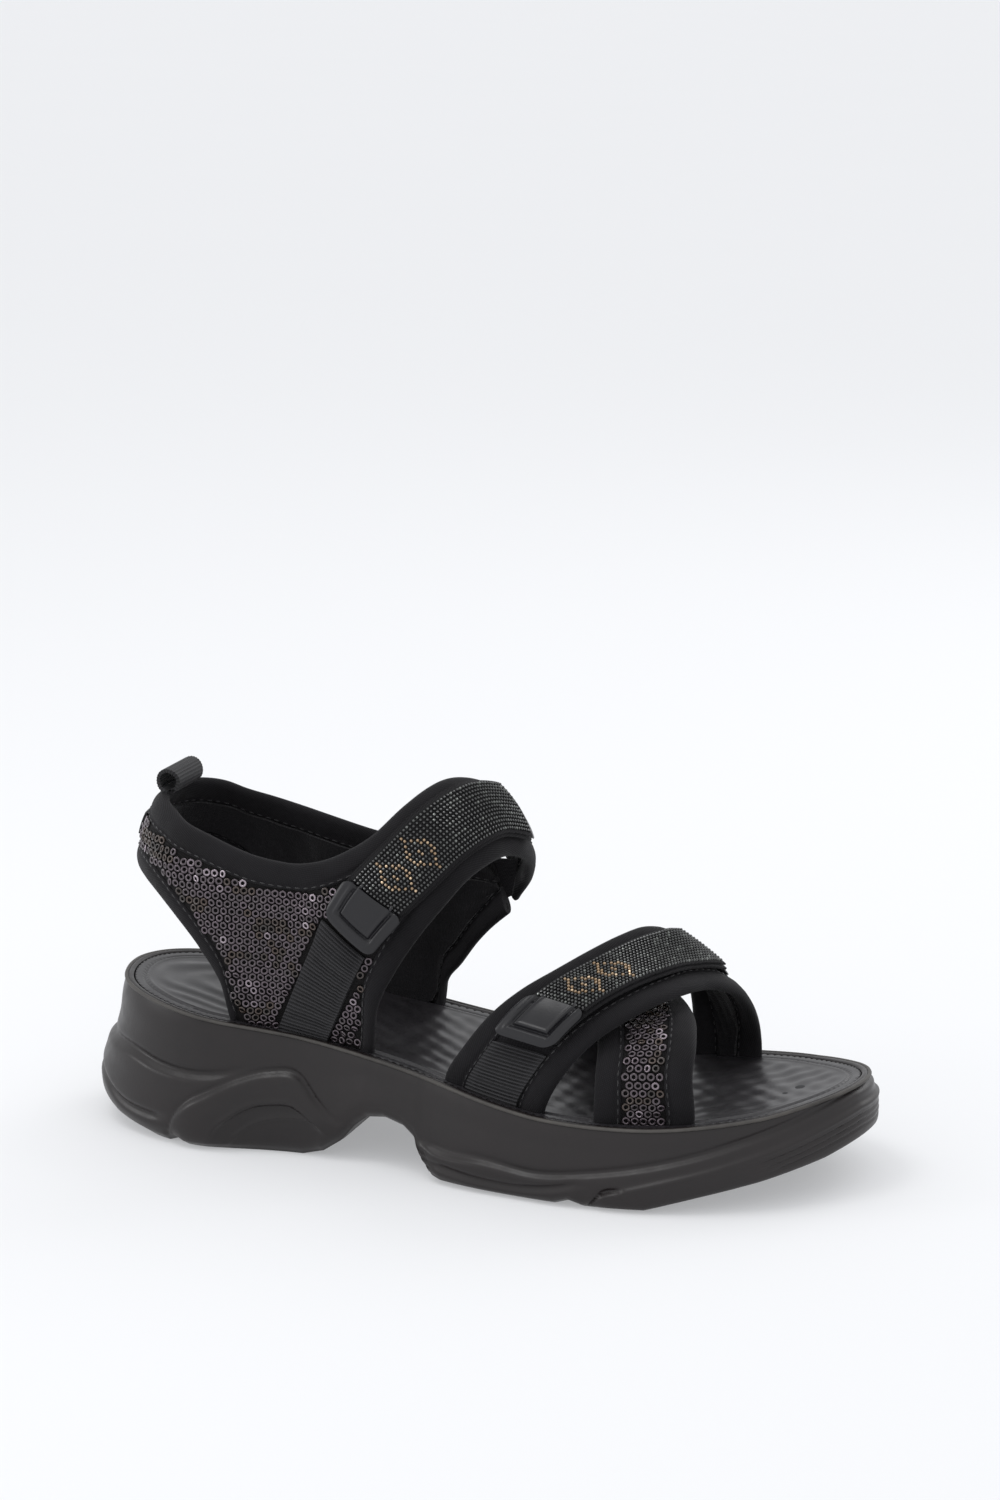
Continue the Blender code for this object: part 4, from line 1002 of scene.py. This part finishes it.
def ankleWebbing():
    # a straight tape seen from the side, laid on the curved quarter
    a, b, c, d = (np.array(p) * grade for p in webbingShape["corners"])
    coarse, steps, rows = webbingShape["coarse"], webbingShape["steps"], webbingShape["rows"]
    s, t = np.zeros(coarse), np.zeros(coarse)
    for i, j in np.ndindex(*coarse):
        u, v = i / (coarse[0] - 1), j / (coarse[1] - 1)
        s[i, j], t[i, j] = lateral.find(*((a * (1 - v) + b * v) * (1 - u) + (d * (1 - v) + c * v) * u))
    s, t = refine(s, steps, rows), refine(t, steps, rows)
    along = runAlong(lateral.plain(s, t)[:, rows // 2])[:, None]
    across = np.linspace(-0.5, 0.5, rows)[None, :] * webbingShape["wide"]
    lift = loopLift + layers["webbing"] + ribRelief(along, across, 0, webbingShape["wide"])
    piece = gridPiece("ankleWebbing", lateral.at(s, t, lift), spread(along, across), lateral.normal(s, t))
    thicken(piece, layers["webbing"])
    settle(piece, "webbing", "webbing", "ankle_webbing")


ankleWebbing()
stripPiece("forefootWebbing", Track(forefoot), 0.1, 2.4, webbingShape["wide"], loopLift, layers["webbing"],
           "webbing", "webbing", "forefoot_webbing", spacing=0.2, relief=ribRelief, edge=0.0)

tape = {"reach": 0.75, "low": 0.36, "high": 0.64, "lift": 0.5, "size": (9, 7), "steps": (26, 24)}


def heelTape():
    # over the heel seam, from the lateral to the medial quarter
    near = np.linspace(0, tape["reach"], tape["steps"][0])[:, None]
    t = np.linspace(tape["low"], tape["high"], tape["steps"][1])[None, :] + 0 * near
    near = near + 0 * t
    lift = loopLift + tape["lift"] + layers["patch"]
    a, b = lateral.at(near[::-1], t, lift), medial.at(near, t, lift)
    out = np.concatenate([lateral.normal(near[::-1], t)[:-1], medial.normal(near, t)])
    points = np.concatenate([a[:-1], [(a[-1] + b[0]) / 2], b[1:]])
    long, wide = tape["size"]
    flat = spread(np.linspace(0, long, len(points))[:, None], np.linspace(0, wide, t.shape[1]))
    piece = gridPiece("heelTape", points, flat, out)
    thicken(piece, layers["patch"])
    settle(piece, "webbing", "binding", "heel_tape")


heelTape()

straps = {
    "ankle": {"tip": 11.45, "root": 18.25, "track": Track(
        lateral, lambda s: np.interp(s, [11.5, 13, 15, 18, 21], [0.45, 0.50, 0.52, 0.50, 0.50]),
        lambda s: np.interp(s, [12, 16], [-0.3, 0.0]))},
    "forefoot": {"tip": 2.6, "root": 8.65, "track": Track(forefoot)},
}
strapShape = {"width": 20.0, "meshWidth": 18.0, "loopWidth": 11.0, "hookWidth": 10.0, "hookFrom": 6.0,
              "hookTo": 52.0, "tabWidth": 20.5, "tabLength": 15.0, "tabCorner": 3.6, "groove": 4.0,
              "grooveDeep": 0.75, "stone": 1.18, "stoneHigh": 0.62, "goldAt": (7, 16), "goldReach": 4.9,
              "goldLine": 0.72, "hingeBack": 3.0, "endGap": 3.2, "endWide": 10.0, "endLong": 9.0,
              "endCorner": 3.0}


def tabRelief(along, across, total, width):
    # U-shaped groove, open towards the strap, inside a soft rounded border
    border = np.minimum(along, width / 2 - np.abs(across))
    groove = border - strapShape["groove"]
    return (0.3 * (hump(groove + 1.1, 0.5) + hump(groove - 1.1, 0.5))
            - strapShape["grooveDeep"] * hump(groove, 0.5) - 0.5 * np.clip(1 - border / 1.3, 0, 1) ** 2)


def endRelief(along, across, total, width):
    border = np.minimum(total - along, width / 2 - np.abs(across))
    return -0.45 * hump(border - 2.2, 0.4) - 0.5 * np.clip(1 - border / 1.2, 0, 1) ** 2


def stones(label, track, first, last, body):
    cloth, pitch, high = track.cloth, strapShape["stone"], strapShape["stoneHigh"]
    s, run = cloth.evenly(first, last, track.centre, 0.2)
    places = np.arange(pitch * 0.6, run[-1] - pitch * 0.4, pitch)
    columns = int(strapShape["meshWidth"] / pitch) - 1
    middle = (columns - 1) / 2
    sAt = np.interp(places, run, s)
    place = (np.arange(columns) - middle)[None, :] * pitch + 0 * sAt[:, None]
    s, t = track.aside(sAt, place)
    at = cloth.at(s, t, meshLift + layers["mesh"] + high * 0.18)
    out, way = cloth.normal(s, t).reshape(-1, 3), np.gradient(at, axis=0).reshape(-1, 3)
    at = at.reshape(-1, 3)
    # two lozenges with a dot in each
    i, j = np.meshgrid(np.arange(len(places)), np.arange(columns), indexing="ij")
    gold = np.zeros(i.shape, bool)
    for start in strapShape["goldAt"]:
        far = np.abs(i - start) * 1.35 + np.abs(j - middle)
        gold |= (np.abs(far - strapShape["goldReach"]) < strapShape["goldLine"]) | (far < 0.8)
    gold = gold.ravel()
    tone = np.clip(dice.gamma(1.1, 0.24, len(at)), 0, 1)
    for name, chosen, finish in (("Stones", ~gold, "stone"), ("GoldStones", gold, "gold")):
        piece = scatter(label + name, beadTemplate(), at[chosen], way[chosen], np.cross(out, way)[chosen],
                        (pitch * 0.97, pitch * 0.97, high * 2), tone[chosen])
        piece.data.shade_flat()
        settle(piece, finish, "stone_mesh", body=body)


def hingePiece(label, track, root):
    # the strap's last few millimetres fold down to its end tab
    cloth = track.cloth
    first = track.after(root, strapShape["hingeBack"] + 0.3, -1)
    last = track.after(root, strapShape["endGap"] + 1.5)
    s, run = cloth.evenly(first, last, track.centre, 0.35)
    part = (run / run[-1])[:, None]
    fold = part * part * (3 - 2 * part)
    half = strapShape["width"] / 2 - 0.1 - fold * (strapShape["width"] - strapShape["endWide"]) / 2
    place = half * np.linspace(-1, 1, 17)
    s, t = track.aside(s, place)
    lift = strapLift + layers["strap"] - fold * (strapLift - loopLift - 0.4) + 0 * t
    hinge = gridPiece(label + "Hinge", cloth.at(s, t, lift), spread(run[:, None], place), cloth.normal(s, t))
    thicken(hinge, layers["strap"] * 0.95, 0.2)
    dress(hinge, "tape", "strap_base")
    bend = np.array([track.after(root, 2.8, -1), track.after(root, 2.2)])
    ends = toFrame(cloth.at(bend, track.centre(bend), strapLift))
    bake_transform(hinge)


def hookStrap(label, track, tip, root):
    body, shape = label + "_strap_body", strapShape

    def strip(kind, node, first, last, width, low, thick, finish, slot, on=body, **more):
        stripPiece(label + kind, track, first, last, width, low, layers[thick], finish, slot, label + node, on,
                   **more)

    hookFrom, meshFrom = track.after(tip, shape["hookFrom"]), track.after(tip, shape["tabLength"] + 0.1)
    strapTo, endFrom = track.after(root, shape["hingeBack"], -1), track.after(root, shape["endGap"])
    strip("LoopPatch", "_loop_patch", hookFrom, track.after(root, 0.6, -1), shape["loopWidth"], loopLift,
          "patch", "pile", "loop_pile", "shell")
    strip("HookPatch", "_hook_patch", hookFrom, track.after(tip, shape["hookTo"]), shape["hookWidth"],
          hookLift, "patch", "hooks", "hooks")
    strip("Strap", "_strap", track.after(tip, 2.0), strapTo, shape["width"], strapLift, "strap", "tape",
          "strap_base", rows=20)
    strip("StoneMesh", "_stone_mesh", meshFrom, strapTo, shape["meshWidth"], meshLift, "mesh", "tape",
          "stone_mesh", rows=20)
    strip("Tab", "_tab", tip, track.after(tip, shape["tabLength"]), shape["tabWidth"], meshLift, "tab", "tab",
          "tab_rubber", corner=shape["tabCorner"], spacing=0.3, rows=70, relief=tabRelief, edge=0.35, segments=3)
    strip("EndTab", "_end_tab", endFrom, track.after(root, shape["endGap"] + shape["endLong"]),
          shape["endWide"], loopLift, "tab", "tab", "tab_rubber", "shell", corner=shape["endCorner"],
          spacing=0.3, rows=60, relief=endRelief, edge=0.35, segments=3)
    stones(label, track, meshFrom, strapTo, body)
    hingePiece(label, track, root)


for label, strap in straps.items():
    hookStrap(label, **strap)
print("straps ready")

pull = {"wide": 20.0, "high": 8.0, "deep": 8.5, "thick": 1.2, "foot": 0.75, "waist": 0.06, "rib": 0.12,
        "ribPitch": 1.05, "sewnIn": (2.0, 0.0, -2.3), "bend": (-1.2, 3.2)}


def pullLoop():
    turn = np.radians(np.linspace(-62, 242, 46))
    radius, foot = pull["deep"] / 2, pull["foot"]
    x, z = radius * np.cos(turn), pull["high"] - radius + radius * np.sin(turn)
    legs = np.linspace(0, 1, 12)[:-1]
    x = np.concatenate([foot + (x[0] - foot) * legs, x, (x[-1] + (-foot - x[-1]) * legs[::-1])])
    z = np.concatenate([z[0] * legs, z, z[-1] * legs[::-1]])
    y = np.linspace(-0.5, 0.5, 21) * pull["wide"]
    waist = 1 - pull["waist"] * np.sin(np.clip(z / pull["high"], 0, 1) * math.pi)
    run = runAlong(np.stack([x, z], axis=1))
    rib = pull["rib"] * np.sin(run * 2 * math.pi / pull["ribPitch"])
    way = unit(np.stack([np.gradient(x), np.gradient(z)], axis=1))
    points = spread((x + way[:, 1] * rib)[:, None], y[None, :] * waist[:, None], (z - way[:, 0] * rib)[:, None])
    pivot = next(np.array(j["pos_m"]) for j in frame["record"]["behaviour"]["joints"]
                 if j["name"] == "pull_loop_tilt")
    points = points + pivot * 1000 + pull["sewnIn"] - shift
    outward = spread(way[:, 1:], np.zeros((1, len(y))), -way[:, :1])
    piece = gridPiece("pullLoop", points, spread(run[:, None], y[None, :]), outward)
    thicken(piece, pull["thick"])
    # its foot is sewn under the binding
    dress(piece, "webbing", "webbing", "pull_loop")
    below, above = (tuple(pivot + (0, 0, z * 0.001)) for z in pull["bend"])
    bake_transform(piece)


pullLoop()
print("pull loop ready")


def insideQuad(cloth, spots, corners, room):
    place = cloth.plain(spots[:, 0], spots[:, 1])[:, [0, 2]] / grade
    inside = np.ones(len(place), bool)
    for (ax, az), (bx, bz) in zip(corners, corners[1:] + corners[:1]):
        length = math.hypot(bx - ax, bz - az)
        away = ((bx - ax) * (place[:, 1] - az) - (bz - az) * (place[:, 0] - ax)) / length
        inside &= away > -room
    return inside


def sequinFields():
    # sequins cover the quarters and the cross band, apart from webbing, straps and heel tape
    rows = sequinRows(lateral, 40, 112, 0.35, 13.2)
    s, t = rows.T
    under = insideQuad(lateral, rows, webbingShape["corners"], 1.2)
    strapped = (s > 11.5) & (np.abs(t - straps["ankle"]["track"].centre(s)) * lateral.across(s) < 10.5)
    taped = (s < 0.95) & (np.abs(t - 0.5) < 0.2)
    sequinPiece("lateralSequins", lateral, rows[~under & ~strapped & ~taped])
    rows = sequinRows(medial, 40, 108, 0.35, 13.5)
    taped = (rows[:, 0] < 0.95) & (np.abs(rows[:, 1] - 0.5) < 0.2)
    sequinPiece("medialSequins", medial, rows[~taped])
    sequinPiece("crossSequins", crossing, sequinStrip(crossing, 0.3, 9.7), 0.2)


sequinFields()
print("sequins ready")


def flatOf(cloth, first, last, edge):
    s, t = np.linspace(first, last, 400), np.linspace(0, 1, 40)
    middle = runAlong(cloth.plain(s, np.full_like(s, 0.5)))[-1]
    grid = cloth.plain(s[:, None] + 0 * t, edge / cloth.across(s)[:, None] * (1 - 2 * t) + t)
    across, along = np.diff(grid, axis=1)[:-1], np.diff(grid, axis=0)[:, :-1]
    area = np.linalg.norm(np.cross(across, along), axis=-1).sum()
    length = max(middle, np.linalg.norm(np.diff(grid, axis=0), axis=-1).sum(axis=0).max())
    # the cut curves, so the strip it is cut from is taken a little under its widest part
    width = min((cloth.across(s) - 2 * edge).max(), area / (0.45 * length))
    return (width * 0.001, length * 0.001), area * 1e-6


for piece, cloth, first, edge in sheets:
    flat, area = flatOf(cloth, first, cloth.last, edge)
print("cloth facts ready")

studio = {"floor": 80.0, "glow": 0.34, "world": 1.0, "sky": (0.97, 0.98, 1.0, 1.0), "lens": 89.17,
          "distance": 1.2392, "azimuth": 20.2, "elevation": 18.4, "focus": (0.004, 0.0019, 0.0286),
          "aimRight": 0.00334, "aimUp": 0.103, "lampAim": (0, 0, 0.04)}
lamps = {
    "key": {"at": (-0.35, -0.3, 1.2), "size": 0.45, "power": 2.6},
    "back": {"at": (0.5, 1.0, 0.8), "size": 0.7, "power": 2.6},
    "side": {"at": (-1.0, -0.45, 0.42), "size": 0.3, "power": 1.5},
}


def place(name, data, at, aim):
    holder = bpy.data.objects.new(name, data)
    bpy.context.scene.collection.objects.link(holder)
    holder.location = at
    holder.rotation_euler = (Vector(aim) - Vector(at)).to_track_quat("-Z", "Y").to_euler()
    return holder


deselectAll()
bpy.ops.mesh.primitive_plane_add(size=studio["floor"], location=(0, 0, 0))
floor = bpy.context.active_object
floor.name = "floor"
pale = Finish("pale floor", Specular_IOR_Level=0.05, Roughness=0.9, Emission_Color=studio["sky"],
              Emission_Strength=studio["glow"])
pale.paint(pale.noise(pale.objectPlace(), 3.0), (0.525, 0.528, 0.535), (0.53, 0.533, 0.54))
floor.data.materials.append(pale.material)

world = bpy.data.worlds.new("studio")
bpy.context.scene.world = world
world.use_nodes = True
world.node_tree.nodes["Background"].inputs["Color"].default_value = studio["sky"]
world.node_tree.nodes["Background"].inputs["Strength"].default_value = studio["world"]

for name, lamp in lamps.items():
    light = bpy.data.lights.new(name, "AREA")
    light.size, light.energy = lamp["size"], lamp["power"]
    place(name, light, lamp["at"], studio["lampAim"])

azimuth, elevation = math.radians(studio["azimuth"]), math.radians(studio["elevation"])
right = Vector((math.cos(azimuth), math.sin(azimuth), 0))
back = Vector((math.sin(azimuth) * math.cos(elevation), -math.cos(azimuth) * math.cos(elevation),
               math.sin(elevation)))
focus = Vector(studio["focus"])
aim = focus + right * studio["aimRight"] + back.cross(right) * studio["aimUp"]
camera = place("camera", bpy.data.cameras.new("camera"), focus + back * studio["distance"], aim)
camera.data.lens = studio["lens"]
camera.data.sensor_fit = "VERTICAL"
camera.data.sensor_height = 36.0
camera.data.clip_end = 500.0
bpy.context.scene.camera = camera
bpy.context.scene.view_settings.view_transform = "Standard"
bpy.context.scene.view_settings.look = "None"
